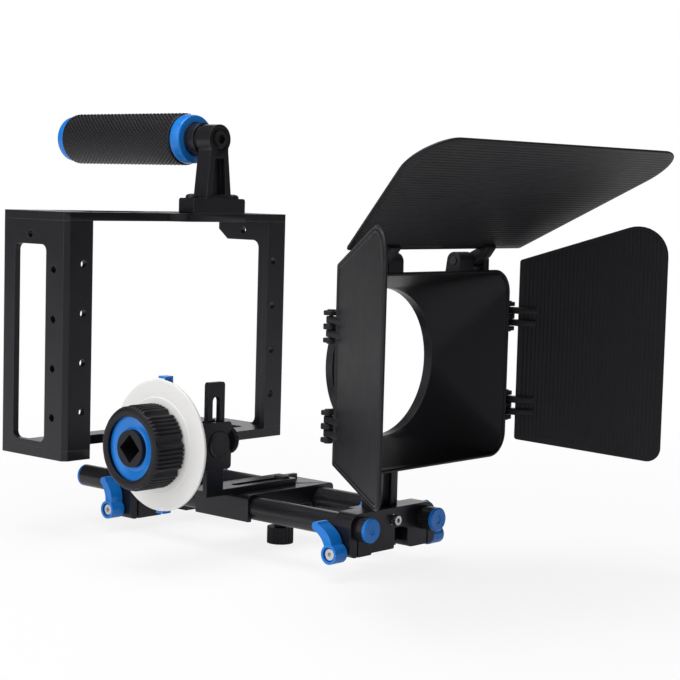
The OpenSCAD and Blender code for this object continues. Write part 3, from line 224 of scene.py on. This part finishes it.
def knurled_rubber(name, low, high, crest_wear_and_highlight):
    """Rubber sleeve: darker in the grooves as painted shade, paler on the crests as partly rubbing wear and
    partly a painted highlight, with a fine skin grain. The height comes from the distance to the sleeve's
    own axis."""
    mat, nt, sh = start_finish(name, low, 0.4, 0.0, 0.32, (0.94, 0.92, 1))
    co = nt.nodes.new("ShaderNodeTexCoord")
    flat = nt.nodes.new("ShaderNodeVectorMath")
    flat.operation = "SUBTRACT"
    flat.inputs[1].default_value = (HANDLE_X * MM, 0, GRIP_Z * MM)
    drop = nt.nodes.new("ShaderNodeVectorMath")
    drop.operation = "MULTIPLY"
    drop.inputs[1].default_value = (1, 0, 1)
    away = nt.nodes.new("ShaderNodeVectorMath")
    away.operation = "LENGTH"
    nt.links.new(co.outputs["Object"], flat.inputs[0])
    nt.links.new(flat.outputs["Vector"], drop.inputs[0])
    nt.links.new(drop.outputs["Vector"], away.inputs[0])
    height = spread(nt, away.outputs["Value"], 0, 1, (GRIP_R - 0.42) * MM, (GRIP_R + 0.03) * MM)
    body = tint(nt, spread(nt, grain(nt, 70, 4), 0, 1), low, high)
    # painted shade and highlight: colour runs from the darker body colour in the grooves to the paler crest
    # colour on top
    mx = nt.nodes.new("ShaderNodeMix")
    mx.data_type = "RGBA"
    mx.inputs["B"].default_value = (*crest_wear_and_highlight, 1)
    nt.links.new(height, mx.inputs["Factor"])
    nt.links.new(body, mx.inputs["A"])
    nt.links.new(mx.outputs["Result"], sh.inputs["Base Color"])
    nt.links.new(spread(nt, grain(nt, 500, 2), 0.34, 0.46), sh.inputs["Roughness"])
    raise_grain(nt, sh, grain(nt, 4000, 2), 0.00005, 0.5)
    return mat


FINISH = {
    "black_anodised": blasted_anodise(
        # last colour: paler edges, partly wear and partly a painted highlight
        "black_anodise", (0.0065, 0.0063, 0.0078), (0.0095, 0.0093, 0.0112), (0.10, 0.10, 0.11),
        0.30, 0.1, 0.45),
    "blue_anodised": blasted_anodise(
        # last colour: paler edges, partly wear and partly a painted highlight
        "blue_anodise", (0.006, 0.19, 0.66), (0.008, 0.215, 0.72), (0.07, 0.38, 0.85),
        0.24, 0.1, 0.5, 0.0003, 0.00001),
    "black_plastic": moulded_plastic(
        # last colour: painted highlight on the edges
        "black_moulding", (0.0052, 0.0050, 0.0062), (0.0070, 0.0068, 0.0084), (0.07, 0.07, 0.075), 0.46,
        depth=0.00002, spec=0.3),
    "white_plastic": moulded_plastic(
        # last colour: painted highlight on the edges
        "white_moulding", (0.79, 0.785, 0.77), (0.83, 0.825, 0.81), (0.86, 0.86, 0.85), 0.42),
    "bright_steel": turned_metal("bright_steel", (0.55, 0.55, 0.56), (0.72, 0.72, 0.72), 0.24),
    "black_screws": turned_metal("blackened_steel", (0.02, 0.02, 0.022), (0.035, 0.035, 0.038), 0.32, 0.6),
    "rod_tube": drawn_tube("black_tube", (0.022, 0.022, 0.025), (0.032, 0.032, 0.036), 0.28),
    "grip_rubber": knurled_rubber(
        # last colour: the crests, partly rubbing wear and partly a painted highlight over the painted shade
        # of the grooves
        "grip_rubber", (0.003, 0.003, 0.0035), (0.005, 0.0048, 0.0055), (0.011, 0.0105, 0.012)),
}
SLOT_OF = {entry["node"]: entry["material_slot"] for entry in frame["record"]["subparts"]}
for node_name, node in frame["nodes"].items():
    finish = FINISH[SLOT_OF[node_name]]
    for slot in node.material_slots:
        slot.material = finish
    if not node.material_slots:
        node.data.materials.append(finish)


# ---------------------------------------------------------------- building blocks

def place(points):
    """Points counted in mm from the cage's front plane, as metres in the frame."""
    return (np.asarray(points, float) + (0, FRONT_Y, 0)) * MM


def skin(rings):
    """Faces over stacked rings of points, array (rows, columns, 3): each ring is closed, neighbouring rings
    are joined by quads, and the last ring joins the first."""
    rings = np.asarray(rings, float)
    rows, cols = rings.shape[:2]
    verts = rings.reshape(-1, 3)
    j = np.arange(cols)
    k = (j + 1) % cols
    faces = []
    for i in range(rows):
        a, b = i * cols, ((i + 1) % rows) * cols
        faces += np.stack([a + j, a + k, b + k, b + j], 1).tolist()
    return verts, faces


def join(*parts):
    """Several (points, faces) pairs as one."""
    verts, faces, base = [], [], 0
    for v, f in parts:
        verts.append(v)
        faces += [[base + n for n in face] for face in f]
        base += len(v)
    return np.concatenate(verts), faces


def close_up(me, weld=1e-6):
    """Welds coincident points, drops slivers and turns the faces outward."""
    bm = bmesh.new()
    bm.from_mesh(me)
    bmesh.ops.remove_doubles(bm, verts=bm.verts, dist=weld)
    bmesh.ops.dissolve_degenerate(bm, edges=bm.edges, dist=weld / 2)
    if bm.calc_volume(signed=True) < 0:
        bmesh.ops.reverse_faces(bm, faces=bm.faces)
    bm.to_mesh(me)
    bm.free()


def piece(name, shape, node, sharp=38):
    """New piece from (points in mm, faces) that stands for a node."""
    me = bpy.data.meshes.new(name)
    me.from_pydata(place(shape[0]).tolist(), [], shape[1])
    close_up(me)
    dress(name, me, node, sharp)


def dress(name, me, node, sharp=38):
    """Makes a mesh a piece of the object that stands for a node, rides its body and takes its finish."""
    me.polygons.foreach_set("use_smooth", [True] * len(me.polygons))
    me.set_sharp_from_angle(angle=math.radians(sharp))
    me.materials.clear()
    me.materials.append(FINISH[SLOT_OF[node]])
    ob = bpy.data.objects.new(name, me)
    bpy.context.collection.objects.link(ob)
    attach(ob, frame["nodes"][node]["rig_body"])
    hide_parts(node)
    return ob


def softened(node, width):
    """The solid itself with its sharp edges rounded to width mm, standing for its node."""
    me = frame["nodes"][node].data.copy()
    me.name = node + "_soft"
    bm = bmesh.new()
    bm.from_mesh(me)
    bmesh.ops.remove_doubles(bm, verts=bm.verts, dist=2e-6)
    bmesh.ops.dissolve_limit(bm, angle_limit=math.radians(0.6), verts=bm.verts, edges=bm.edges)
    bm.to_mesh(me)
    bm.free()
    ob = dress(node + "_soft", me, node)
    bevel = ob.modifiers.new("soft edges", "BEVEL")
    bevel.width = width * MM
    bevel.segments = 2
    bevel.limit_method = "ANGLE"
    bevel.angle_limit = math.radians(34)
    bevel.use_clamp_overlap = True
    bevel.miter_outer = "MITER_ARC"


def turned(profile, centre, axis, n=128, relief=None):
    """Surface of revolution: the closed outline of (radius, along, relief share) points is carried round
    the axis in n steps, and relief(angle) * share is taken off the radius."""
    profile = np.array([(*p, 0)[:3] for p in profile], float)
    turn = np.arange(n) * 2 * math.pi / n
    cut = relief(turn) if relief else np.zeros(n)
    r = profile[:, 0, None] - profile[:, 2, None] * cut[None, :]
    along = np.repeat(profile[:, 1, None], n, 1)
    u, v = r * np.cos(turn), r * np.sin(turn)
    order = {"x": (along, u, v), "y": (u, along, v), "z": (u, v, along)}[axis]
    return skin(np.stack(order, 2) + centre)


def arc(centre, r, a0, a1, n=6):
    """Points of an arc in degrees, both ends included."""
    t = np.radians(np.linspace(a0, a1, n))
    return np.stack([centre[0] + r * np.cos(t), centre[1] + r * np.sin(t)], 1)


def rounded(corners, radii, n=8):
    """Outline with each corner replaced by an arc of its own radius that touches both sides."""
    corners = np.asarray(corners, float)
    out = []
    for i, (b, r) in enumerate(zip(corners, radii)):
        u = corners[i - 1] - b
        v = corners[(i + 1) % len(corners)] - b
        u, v = u / np.linalg.norm(u), v / np.linalg.norm(v)
        half = math.acos(float(u @ v)) / 2
        mid = b + (u + v) / np.linalg.norm(u + v) * r / math.sin(half)
        p, q = b + u * r / math.tan(half) - mid, b + v * r / math.tan(half) - mid
        span = math.acos(float(np.clip(p @ q / r / r, -1, 1)))
        for t in np.linspace(0, 1, n):
            out.append(mid + (p * math.sin((1 - t) * span) + q * math.sin(t * span)) / math.sin(span))
    return np.array(out)


def hull(points):
    """Convex outline round points, anticlockwise."""
    pts = sorted(map(tuple, np.round(np.asarray(points, float), 6)))

    def chain(seq):
        out = []
        for p in seq:
            while len(out) > 1 and ((out[-1][0] - out[-2][0]) * (p[1] - out[-2][1])
                                    - (out[-1][1] - out[-2][1]) * (p[0] - out[-2][0])) <= 1e-9:
                out.pop()
            out.append(p)
        return out[:-1]
    return np.array(chain(pts) + chain(pts[::-1]))


def eyelet(outline, eye, bore, lo, hi, axis, soft=0.5):
    """Flat arm with a bored eye: its convex outline and the bore's circle are carried from lo to hi, the
    outer edges rounded by moving the outline inwards along a quarter circle at both ends."""
    outline = np.asarray(outline, float)
    tangent = np.roll(outline, -1, 0) - np.roll(outline, 1, 0)
    inward = np.stack([-tangent[:, 1], tangent[:, 0]], 1)
    inward /= np.linalg.norm(inward, axis=1)[:, None]
    away = outline - eye
    turn = np.arctan2(away[:, 1], away[:, 0])
    hole = eye + bore * np.stack([np.cos(turn), np.sin(turn)], 1)
    rings = []
    for q in np.linspace(0, math.pi / 2, 4):
        rings.append((outline + inward * soft * (1 - math.sin(q)), lo + soft * (1 - math.cos(q))))
    for q in np.linspace(math.pi / 2, 0, 4):
        rings.append((outline + inward * soft * (1 - math.sin(q)), hi - soft * (1 - math.cos(q))))
    rings += [(hole, hi), (hole, lo)]
    pts = []
    for flat, level in rings:
        a = np.full(len(flat), level)
        pts.append(np.stack({"x": (a, flat[:, 0], flat[:, 1]), "z": (flat[:, 0], flat[:, 1], a)}[axis], 1))
    return skin(pts)


# ---------------------------------------------------------------- flags

def smooth(x):
    """0 below 0, 1 above 1, with an S-shaped rise between."""
    x = np.clip(x, 0, 1)
    return x * x * (3 - 2 * x)


def flag_blade(outline, pitches):
    """Ribbed blade in its own plane, as two heightfields over (across, along) that meet at the rim.
    The blade has a half-round rim. d is the distance to the outline: the outer face carries a low border
    band, d from 0.1 to 3.9, with a groove along its middle, and the inner face round-topped ribs that
    fade out towards the rim. Returns points (across, along, depth) and faces."""
    rib_room = 0.8
    last_rib = FIRST_RIB + RIB_PITCH * pitches
    width = outline[:, 0].max()
    near = np.array([0, 0.1, 0.3, 0.7, 1.1, 1.5, 1.9, 2.3, 2.7, 3.1, 3.5, 3.9, 4.3, 4.9])
    across = np.concatenate([near, np.arange(5.5, width - 5.2, RIB_PITCH / 8), width - near[::-1]])
    ordered = outline[np.argsort(outline[:, 0], kind="stable")]
    middle = (outline[:, 1].max() + outline[:, 1].min()) / 2
    low = ordered[ordered[:, 1] < middle]
    high = ordered[ordered[:, 1] >= middle]
    y0 = np.interp(across, low[:, 0], low[:, 1])
    y1 = np.interp(across, high[:, 0], high[:, 1])
    share = np.linspace(0, 1, 22)[1:-1]
    inner = (y0 + 5.6)[:, None] + share[None, :] * (y1 - y0 - 11.2)[:, None]
    along = np.concatenate([y0[:, None] + near, inner, y1[:, None] - near[::-1]], 1)
    w = np.repeat(across[:, None], along.shape[1], 1)
    a, b = outline, np.roll(outline, -1, 0)
    d = np.full(w.shape, 1e9)
    for p, q in zip(a, b):
        side = q - p
        t = np.clip(((w - p[0]) * side[0] + (along - p[1]) * side[1]) / max(side @ side, 1e-12), 0, 1)
        d = np.minimum(d, np.hypot(w - p[0] - t * side[0], along - p[1] - t * side[1]))
    half = BLADE / 2 * np.sqrt(1 - (1 - np.clip(d / (BLADE / 2), 0, 1)) ** 2)
    band = 0.5 * smooth((d - 0.1) / 0.6) * (1 - smooth((d - 3.3) / 0.6))
    band -= 0.45 * np.exp(-((d - 1.9) / 0.45) ** 2)
    phase = ((w - FIRST_RIB) / RIB_PITCH + 0.5) % 1 - 0.5
    on = (w > FIRST_RIB - RIB_PITCH / 2) & (w < last_rib + RIB_PITCH / 2)
    ribs = 0.35 * np.where(on, np.cos(math.pi * phase) ** 2, 0) * smooth((d - 2.2) / 1.2)
    middle_t = -rib_room - BLADE / 2
    rim = np.zeros(w.shape, bool)
    rim[[0, -1], :] = True
    rim[:, [0, -1]] = True
    half = np.where(rim, 0, half)
    outer = middle_t - half - np.where(rim, 0, band)
    inner_t = middle_t + half + np.where(rim, 0, ribs)
    rows, cols = w.shape
    i, j = np.meshgrid(np.arange(rows - 1), np.arange(cols - 1), indexing="ij")
    near_side, far_side = i * cols + j, (i + 1) * cols + j
    quad = np.stack([near_side, far_side, far_side + 1, near_side + 1], 2).reshape(-1, 4)
    faces = quad[:, ::-1].tolist() + (quad + rows * cols).tolist()
    pts = np.concatenate([np.stack([w, along, t], 2).reshape(-1, 3) for t in (outer, inner_t)])
    return pts, faces


def side_flag(side):
    """Hinged side flag with its four bored prongs; side is 1 for +X and -1 for -X."""
    width, half, low_flare, high_flare = 92.7, 57.4, 11.5, 31.1
    d = np.array([math.sin(FLAG_TURN), -math.cos(FLAG_TURN)])
    n = np.array([-math.cos(FLAG_TURN), -math.sin(FLAG_TURN)])
    e, p = np.array([FLAG_X, FLAG_Y]), np.array([HINGE_X, HINGE_Y])
    outline = rounded([(0, -half), (width, -half - low_flare), (width, half + high_flare), (0, half)],
                      (2, 8.5, 19, 2), 12)
    pts, faces = flag_blade(outline, SIDE_PITCHES)
    flat = e + pts[:, 0, None] * d + pts[:, 2, None] * n
    parts = [(np.column_stack([flat, FLAG_Z + pts[:, 1]]), faces)]
    arm = hull(np.concatenate([arc(p, 2.8, 0, 350, 36), [
        e + n * 3, e + d * 11.5 + n * 1.6, e + d * 11.5 - n * 1.2, e - n * 1.8]]))
    for z in HINGE_ZS:
        for lo in (z + 1.9, z - 5.9):
            parts.append(eyelet(arm, p, PIN_R, lo, lo + 4, "z", 0.6))
    shape = join(*parts)
    shape[0][:, 0] *= side
    return shape


def top_flag():
    """Hinged top flag with its two bored arms."""
    width, half, flare = 113.2, 82.7, 52.5
    c, s = math.cos(FLAG_TURN), math.sin(FLAG_TURN)
    d, n = np.array([-c, s]), np.array([-s, -c])
    e, p = np.array([FLAG_Y - 0.3, TOP_FLAG_Z]), np.array([TOP_PIN_Y, TOP_PIN_Z])
    outline = rounded([(0, -half), (width, -half - flare), (width, half + flare), (0, half)],
                      (3, 22, 22, 3), 14)
    pts, faces = flag_blade(outline, TOP_PITCHES)
    flat = e + pts[:, 0, None] * d + pts[:, 2, None] * n
    parts = [(np.column_stack([1.5 + pts[:, 1], flat]), faces)]
    arm = hull(np.concatenate([arc(p, 4, 0, 350, 36), [
        e + n * 4.5, e + d * 6.5 + n * 2, e + d * 6.5 - n * 1.1, e - n * 1.8]]))
    for lo in (41, -51):
        parts.append(eyelet(arm, p, PIN_R, lo, lo + 10, "x", 0.8))
    return join(*parts)


piece("flag_right_blade", side_flag(1), "flag_right")
piece("flag_left_blade", side_flag(-1), "flag_left")
piece("flag_top_blade", top_flag(), "flag_top")


# ---------------------------------------------------------------- shade

def shade_section(s, inset, n_corner=16, n_side=10):
    """Closed ring of the shade at share s of the way from its rim (0) to the lens opening (1): a rounded
    rectangle whose straight core shrinks to nothing while its corner radius grows into the circle."""
    core_w = (SHADE_W - SHADE_CORNER) * (1 - s)
    core_h = (SHADE_H / 2 - SHADE_CORNER) * (1 - s)
    end_r = LENS_R + (1.8 if inset == 0 else 0)
    r = (SHADE_CORNER - inset) * (1 - s) + end_r * s
    z = SHADE_Z * (1 - s) + LENS_Z * s
    out = []
    signs = [(1, 1), (-1, 1), (-1, -1), (1, -1)]
    for k, (sx, sz) in enumerate(signs):
        for a in np.radians(np.linspace(90 * k, 90 * k + 90, n_corner)):
            out.append((sx * core_w + r * math.cos(a), z + sz * core_h + r * math.sin(a)))
        nx, nz = signs[(k + 1) % 4]
        a = math.radians(90 * k + 90)
        for t in np.linspace(0, 1, n_side + 2)[1:-1]:
            out.append(((sx + (nx - sx) * t) * core_w + r * math.cos(a),
                        z + (sz + (nz - sz) * t) * core_h + r * math.sin(a)))
    return np.array(out)


def shade_shape():
    """The shade as one closed skin: rings run back along the outside, round the lens end, forward along the
    inside and over the rim's rolled lip. Hinge ears follow as bored eyelets that start inside the wall."""
    rim_y, end_y = SHADE_Y + 2, RING_Y - 1

    def ring(y, s, inset, grow=0.0):
        flat = shade_section(s, inset)
        if grow:
            mid = np.array([0, SHADE_Z])
            away = flat - mid
            flat = flat + away / np.linalg.norm(away, axis=1)[:, None] * grow
        return np.column_stack([flat[:, 0], np.full(len(flat), y), flat[:, 1]])
    rows = [ring(SHADE_Y + 0.9, 0, 0), ring(rim_y, 0, 0)]
    for s in np.linspace(0, 1, 18)[1:]:
        rows.append(ring(rim_y + s * (end_y - rim_y), s, 0))
    rows += [ring(RING_Y, 1, 0), ring(RING_Y, 1, 2.2), ring(RING_Y - 0.8, 1, 2.2)]
    for s in np.linspace(1, 0, 18)[1:]:
        rows.append(ring(rim_y + s * (end_y - rim_y), s, 2.2))
    rows += [ring(SHADE_Y + 0.9, 0, 2.2), ring(SHADE_Y + 0.3, 0, 1.9), ring(SHADE_Y, 0, 1.3),
             ring(SHADE_Y, 0, 0.9), ring(SHADE_Y + 0.3, 0, 0.3)]
    parts = [skin(rows)]
    for side in (1, -1):
        eye = np.array([side * HINGE_X, HINGE_Y])
        foot = [(side * 77.2, -221.1), (side * 69.0, -212.1)]
        ear = hull(np.concatenate([arc(eye, 4.4, 0, 350, 36), foot]))
        for z in HINGE_ZS:
            for lo, hi in EAR_LEVELS:
                parts.append(eyelet(ear, eye, PIN_R, z + lo, z + hi, "z", 0.4))
        eye = np.array([TOP_PIN_Y, TOP_PIN_Z])
        foot = [(-222.4, 185.0), (-210.2, 182.2)]
        ear = hull(np.concatenate([arc(eye, 5.4, 0, 350, 36), foot]))
        for a, b in TOP_EARS:
            lo, hi = sorted((side * a, side * b))
            parts.append(eyelet(ear, eye, PIN_R, lo, hi, "x", 0.6))
    return join(*parts)


piece("shade_shell", shade_shape(), "shade")


# ---------------------------------------------------------------- handle and follow focus

def grip_shape():
    """Knurled sleeve: rings along the grip whose radius dips where either of two families of helical
    grooves passes, n_start grooves to the left and as many to the right, pitch mm apart along the grip,
    which leaves a diamond pattern."""
    n_start, n_around, n_along, depth, pitch = 40, 320, 244, 0.55, 3.8
    y = np.linspace(GRIP_Y0, GRIP_Y1, n_along)
    turn = np.arange(n_around) * 2 * math.pi / n_around
    lead = 2 * math.pi / pitch
    yy, tt = np.meshgrid(y, turn, indexing="ij")
    left = np.abs(np.sin((n_start * tt + lead * yy) / 2))
    right = np.abs(np.sin((n_start * tt - lead * yy) / 2))
    diamond = np.minimum(left, right)
    ends = smooth((yy - GRIP_Y0) / 1.5) * smooth((GRIP_Y1 - yy) / 1.5)
    edge = 1.0 * (1 - smooth((yy - GRIP_Y0) / 1.2) * smooth((GRIP_Y1 - yy) / 1.2))
    r = GRIP_R + 0.05 - edge - depth * ends * (1 - diamond)
    rings = np.stack([HANDLE_X + r * np.cos(tt), yy, GRIP_Z + r * np.sin(tt)], 2)
    across, up = HANDLE_X + GRIP_BORE * np.cos(turn), GRIP_Z + GRIP_BORE * np.sin(turn)
    inside = [np.stack([across, np.full(n_around, v), up], 1) for v in (GRIP_Y1, GRIP_Y0)]
    return skin(np.concatenate([rings, np.array(inside)]))


def barrel_relief(turn):
    """How much the focus knob's radius falls short at an angle: eight finger scallops 45 degrees apart,
    each a cosine squared 15 degrees wide, with five fine grooves 6 degrees apart between."""
    a = np.degrees(turn) + 14
    p = np.abs(a % 45 - 22.5)
    scallop = 2.0 * np.cos(np.radians((22.5 - p) / 7.5 * 90)) ** 2
    groove = 1.1 * (0.5 + 0.5 * np.cos(np.radians(p * 60))) ** 1.6
    return np.where(p > 15, scallop, groove)


# closed outlines as (radius, place along the axis), the knob's with the share of its relief
KNOB_PROFILE = [
    (20.45, -110), (20.45, -122.3), (20.2, -122.6), (19.6, -122.7), (19.5, -123.6), (19.9, -124),
    (22.8, -124), (23.8, -123.85), (24.5, -123.4, 0.05), (25.2, -122.7, 0.3), (25.8, -121.8, 0.7),
    (26.15, -120.6, 0.95), (26.2, -119, 1), (26.2, -112, 1), (26.2, -103.5, 1), (26.1, -102.9, 1),
    (25.8, -102.5, 1), (25.4, -102.3, 1), (22.4, -102.3), (19.9, -102.3), (19.9, -101.5), (4.05, -101.5),
    (4.05, -106), (11.35, -106), (11.35, -110)]
DISC_PROFILE = [
    (4.05, 0), (29.3, 0), (29.6, 0.15), (29.9, 0.5), (30.2, 0.62), (39.3, 1.45), (39.9, 1.55),
    (40.35, 1.75), (40.55, 2.05), (40.6, 2.4), (40.6, 3.1), (40.45, 3.35), (40.1, 3.5), (4.05, 3.5)]
DISH_PROFILE = [
    (20.4, 14), (20.4, 3.6), (20.1, 3.1), (19.6, 2.95), (18.9, 3.05), (14.6, 3.9), (14.2, 4.0),
    (12.6, 4.05), (12.3, 3.95), (12.1, 3.7), (11.9, 3.5), (11.6, 3.5), (11.4, 3.7), (11.4, 14)]
RING_PROFILE = [
    (GRIP_BORE, 15), (15.8, 15), (16.3, 15.2), (16.65, 15.6), (16.8, 16.2), (17.25, 22.2), (17.3, 22.8),
    (17.15, 23.5), (16.8, 24), (GRIP_BORE, 24)]
CAP_PROFILE = [
    (0, 128.5), (5, 128.5), (5, 139.5), (15.9, 139.5), (16.3, 139.7), (16.5, 140.2), (16.5, 144.9),
    (16.3, 146.0), (15.8, 146.8), (15.0, 147.3), (14.0, 147.5), (0, 147.5)]

# solids kept as they are, with their edges rounded to this width in mm
softened_widths = {
    "cage_top": 0.5, "cage_bottom": 0.5, "cage_side_near": 0.5, "cage_side_far": 0.5, "handle_post": 0.7,
    "rear_clamp": 0.5, "ff_clamp": 0.6, "ff_bracket": 0.45, "ff_gearbox": 0.6, "front_clamp": 0.5,
    "post_keeper": 0.4, "mb_post": 0.5, "lens_ring": 0.4, "rear_lever_near": 0.8, "rear_lever_far": 0.8,
    "front_lever_near": 0.8, "front_lever_far": 0.8, "post_lever": 0.8, "ff_pointer": 0.3, "ff_shaft": 0.3}
for node_name, width in softened_widths.items():
    softened(node_name, width)

axis_at = (0, FOCUS_Y, FOCUS_Z)
handle_at = (HANDLE_X, 0, GRIP_Z)
piece("grip_sleeve", grip_shape(), "handle_grip", sharp=80)
piece("knob_barrel", turned(KNOB_PROFILE, axis_at, "x", 960, barrel_relief), "ff_knob", sharp=50)
piece("marking_disc", turned(DISC_PROFILE, (DISC_X, FOCUS_Y, FOCUS_Z), "x", 160), "ff_disc")
piece("knob_dish", turned(DISH_PROFILE, (KNOB_X, FOCUS_Y, FOCUS_Z), "x", 128), "ff_knob_ring")
piece("grip_ring", turned(RING_PROFILE, handle_at, "y", 128), "handle_ring")
piece("grip_end_cap", turned(CAP_PROFILE, handle_at, "y", 128), "handle_cap")


# ---------------------------------------------------------------- camera, floor and light

def aim_camera():
    """Camera at a fixed azimuth, elevation and roll, moved across and up off the line to its target."""
    az, el, roll = (math.radians(v) for v in (VIEW_AZIMUTH, VIEW_ELEVATION, VIEW_ROLL))
    out = Vector((math.cos(el) * math.sin(az), -math.cos(el) * math.cos(az), math.sin(el)))
    right = (-out).cross(Vector((0, 0, 1))).normalized()
    up = right.cross(-out)
    r = math.cos(roll) * right + math.sin(roll) * up
    u = -math.sin(roll) * right + math.cos(roll) * up
    target = Vector((0, FRONT_Y, TARGET_Z))
    spot = (out * VIEW_DISTANCE + right * VIEW_ACROSS + up * VIEW_UP + target) * MM
    cam = bpy.data.objects.new("view", bpy.data.cameras.new("view"))
    cam.data.sensor_width = SENSOR
    cam.data.lens = SENSOR * FOCAL_PIXELS / PICTURE_PIXELS
    cam.data.clip_start = 0.01
    m = Matrix((r, u, out)).transposed().to_4x4()
    m.translation = spot
    cam.matrix_world = m
    bpy.context.collection.objects.link(cam)
    bpy.context.scene.camera = cam


def white_floor():
    """Pale floor that the camera sees close to white near the object, where it keeps the shadow, and fully
    white further out, where it meets the white surroundings. Reflections see a quarter of that glow."""
    mat, nt, sh = start_finish("floor_white", (0.9, 0.9, 0.9), 0.9, 0.0, 0.0)
    glow = nt.nodes.new("ShaderNodeEmission")
    path = nt.nodes.new("ShaderNodeLightPath")
    seen = nt.nodes.new("ShaderNodeMath")
    seen.operation = "MULTIPLY_ADD"
    seen.inputs[1].default_value = 0.25
    nt.links.new(path.outputs["Is Glossy Ray"], seen.inputs[0])
    nt.links.new(path.outputs["Is Camera Ray"], seen.inputs[2])
    co = nt.nodes.new("ShaderNodeTexCoord")
    far = nt.nodes.new("ShaderNodeVectorMath")
    far.operation = "LENGTH"
    nt.links.new(co.outputs["Object"], far.inputs[0])
    share = nt.nodes.new("ShaderNodeMath")
    share.operation = "MULTIPLY"
    nt.links.new(seen.outputs[0], share.inputs[0])
    nt.links.new(spread(nt, far.outputs["Value"], 0.84, 1.0, 0.25, 0.75), share.inputs[1])
    mix = nt.nodes.new("ShaderNodeMixShader")
    nt.links.new(share.outputs[0], mix.inputs[0])
    nt.links.new(sh.outputs[0], mix.inputs[1])
    nt.links.new(glow.outputs[0], mix.inputs[2])
    nt.links.new(mix.outputs[0], nt.nodes["Material Output"].inputs["Surface"])
    me = bpy.data.meshes.new("floor")
    s, z = 6.0, -0.0005
    me.from_pydata([(-s, -s, z), (s, -s, z), (s, s, z), (-s, s, z)], [], [(0, 1, 2, 3)])
    me.materials.append(mat)
    floor = bpy.data.objects.new("floor", me)
    bpy.context.collection.objects.link(floor)


def white_backdrop():
    """Upright white card behind the object, square to the view: the camera and reflections see it white,
    and it adds no diffuse light."""
    mat, nt, sh = start_finish("card_white", (0.9, 0.9, 0.9), 0.9, 0.0, 0.0)
    glow = nt.nodes.new("ShaderNodeEmission")
    path = nt.nodes.new("ShaderNodeLightPath")
    seen = nt.nodes.new("ShaderNodeMath")
    seen.operation = "MAXIMUM"
    mix = nt.nodes.new("ShaderNodeMixShader")
    nt.links.new(path.outputs["Is Camera Ray"], seen.inputs[0])
    nt.links.new(path.outputs["Is Glossy Ray"], seen.inputs[1])
    nt.links.new(seen.outputs[0], mix.inputs[0])
    nt.links.new(sh.outputs[0], mix.inputs[1])
    nt.links.new(glow.outputs[0], mix.inputs[2])
    nt.links.new(mix.outputs[0], nt.nodes["Material Output"].inputs["Surface"])
    a = math.radians(VIEW_AZIMUTH)
    back, side = Vector((-math.sin(a), math.cos(a), 0)), Vector((math.cos(a), math.sin(a), 0))
    me = bpy.data.meshes.new("backdrop")
    corners = ((CARD_LEFT, 0), (CARD_RIGHT, 0), (CARD_RIGHT, CARD_TOP), (CARD_LEFT, CARD_TOP))
    points = [tuple(back * CARD_BACK + side * w + Vector((0, 0, z))) for w, z in corners]
    me.from_pydata(points, [], [(0, 1, 2, 3)])
    me.materials.append(mat)
    card = bpy.data.objects.new("backdrop", me)
    bpy.context.collection.objects.link(card)


def light_room():
    """White surroundings for the camera, a dim even sky for the light and a dimmer one for reflections, a
    wide soft panel at the left and a smaller one above."""
    world = bpy.data.worlds.new("room")
    bpy.context.scene.world = world
    world.use_nodes = True
    nt = world.node_tree
    sky = nt.nodes["Background"]
    sky.inputs["Color"].default_value = (1, 1, 1, 1)
    sky.inputs["Strength"].default_value = 0.26
    dim = nt.nodes.new("ShaderNodeBackground")
    dim.inputs["Color"].default_value = (1, 1, 1, 1)
    dim.inputs["Strength"].default_value = 0.10
    white = nt.nodes.new("ShaderNodeBackground")
    white.inputs["Color"].default_value = (1, 1, 1, 1)
    white.inputs["Strength"].default_value = 1.0
    path = nt.nodes.new("ShaderNodeLightPath")
    around = nt.nodes.new("ShaderNodeMixShader")
    nt.links.new(path.outputs["Is Glossy Ray"], around.inputs[0])
    nt.links.new(sky.outputs[0], around.inputs[1])
    nt.links.new(dim.outputs[0], around.inputs[2])
    mix = nt.nodes.new("ShaderNodeMixShader")
    nt.links.new(path.outputs["Is Camera Ray"], mix.inputs[0])
    nt.links.new(around.outputs[0], mix.inputs[1])
    nt.links.new(white.outputs[0], mix.inputs[2])
    nt.links.new(mix.outputs[0], nt.nodes["World Output"].inputs["Surface"])
    panels = (("key_left", (-1.7, 0.15, 0.9), 2.4, 25), ("top", (-0.2, 0.1, 1.7), 1.3, 20))
    for name, at, size, power in panels:
        lamp = bpy.data.lights.new(name, "AREA")
        lamp.energy = power
        lamp.size = size
        ob = bpy.data.objects.new(name, lamp)
        ob.location = at
        ob.rotation_euler = (Vector((0, 0, 0.14)) - Vector(at)).to_track_quat("-Z", "Y").to_euler()
        bpy.context.collection.objects.link(ob)


aim_camera()
white_floor()
white_backdrop()
light_room()
bpy.context.scene.view_settings.view_transform = "Standard"
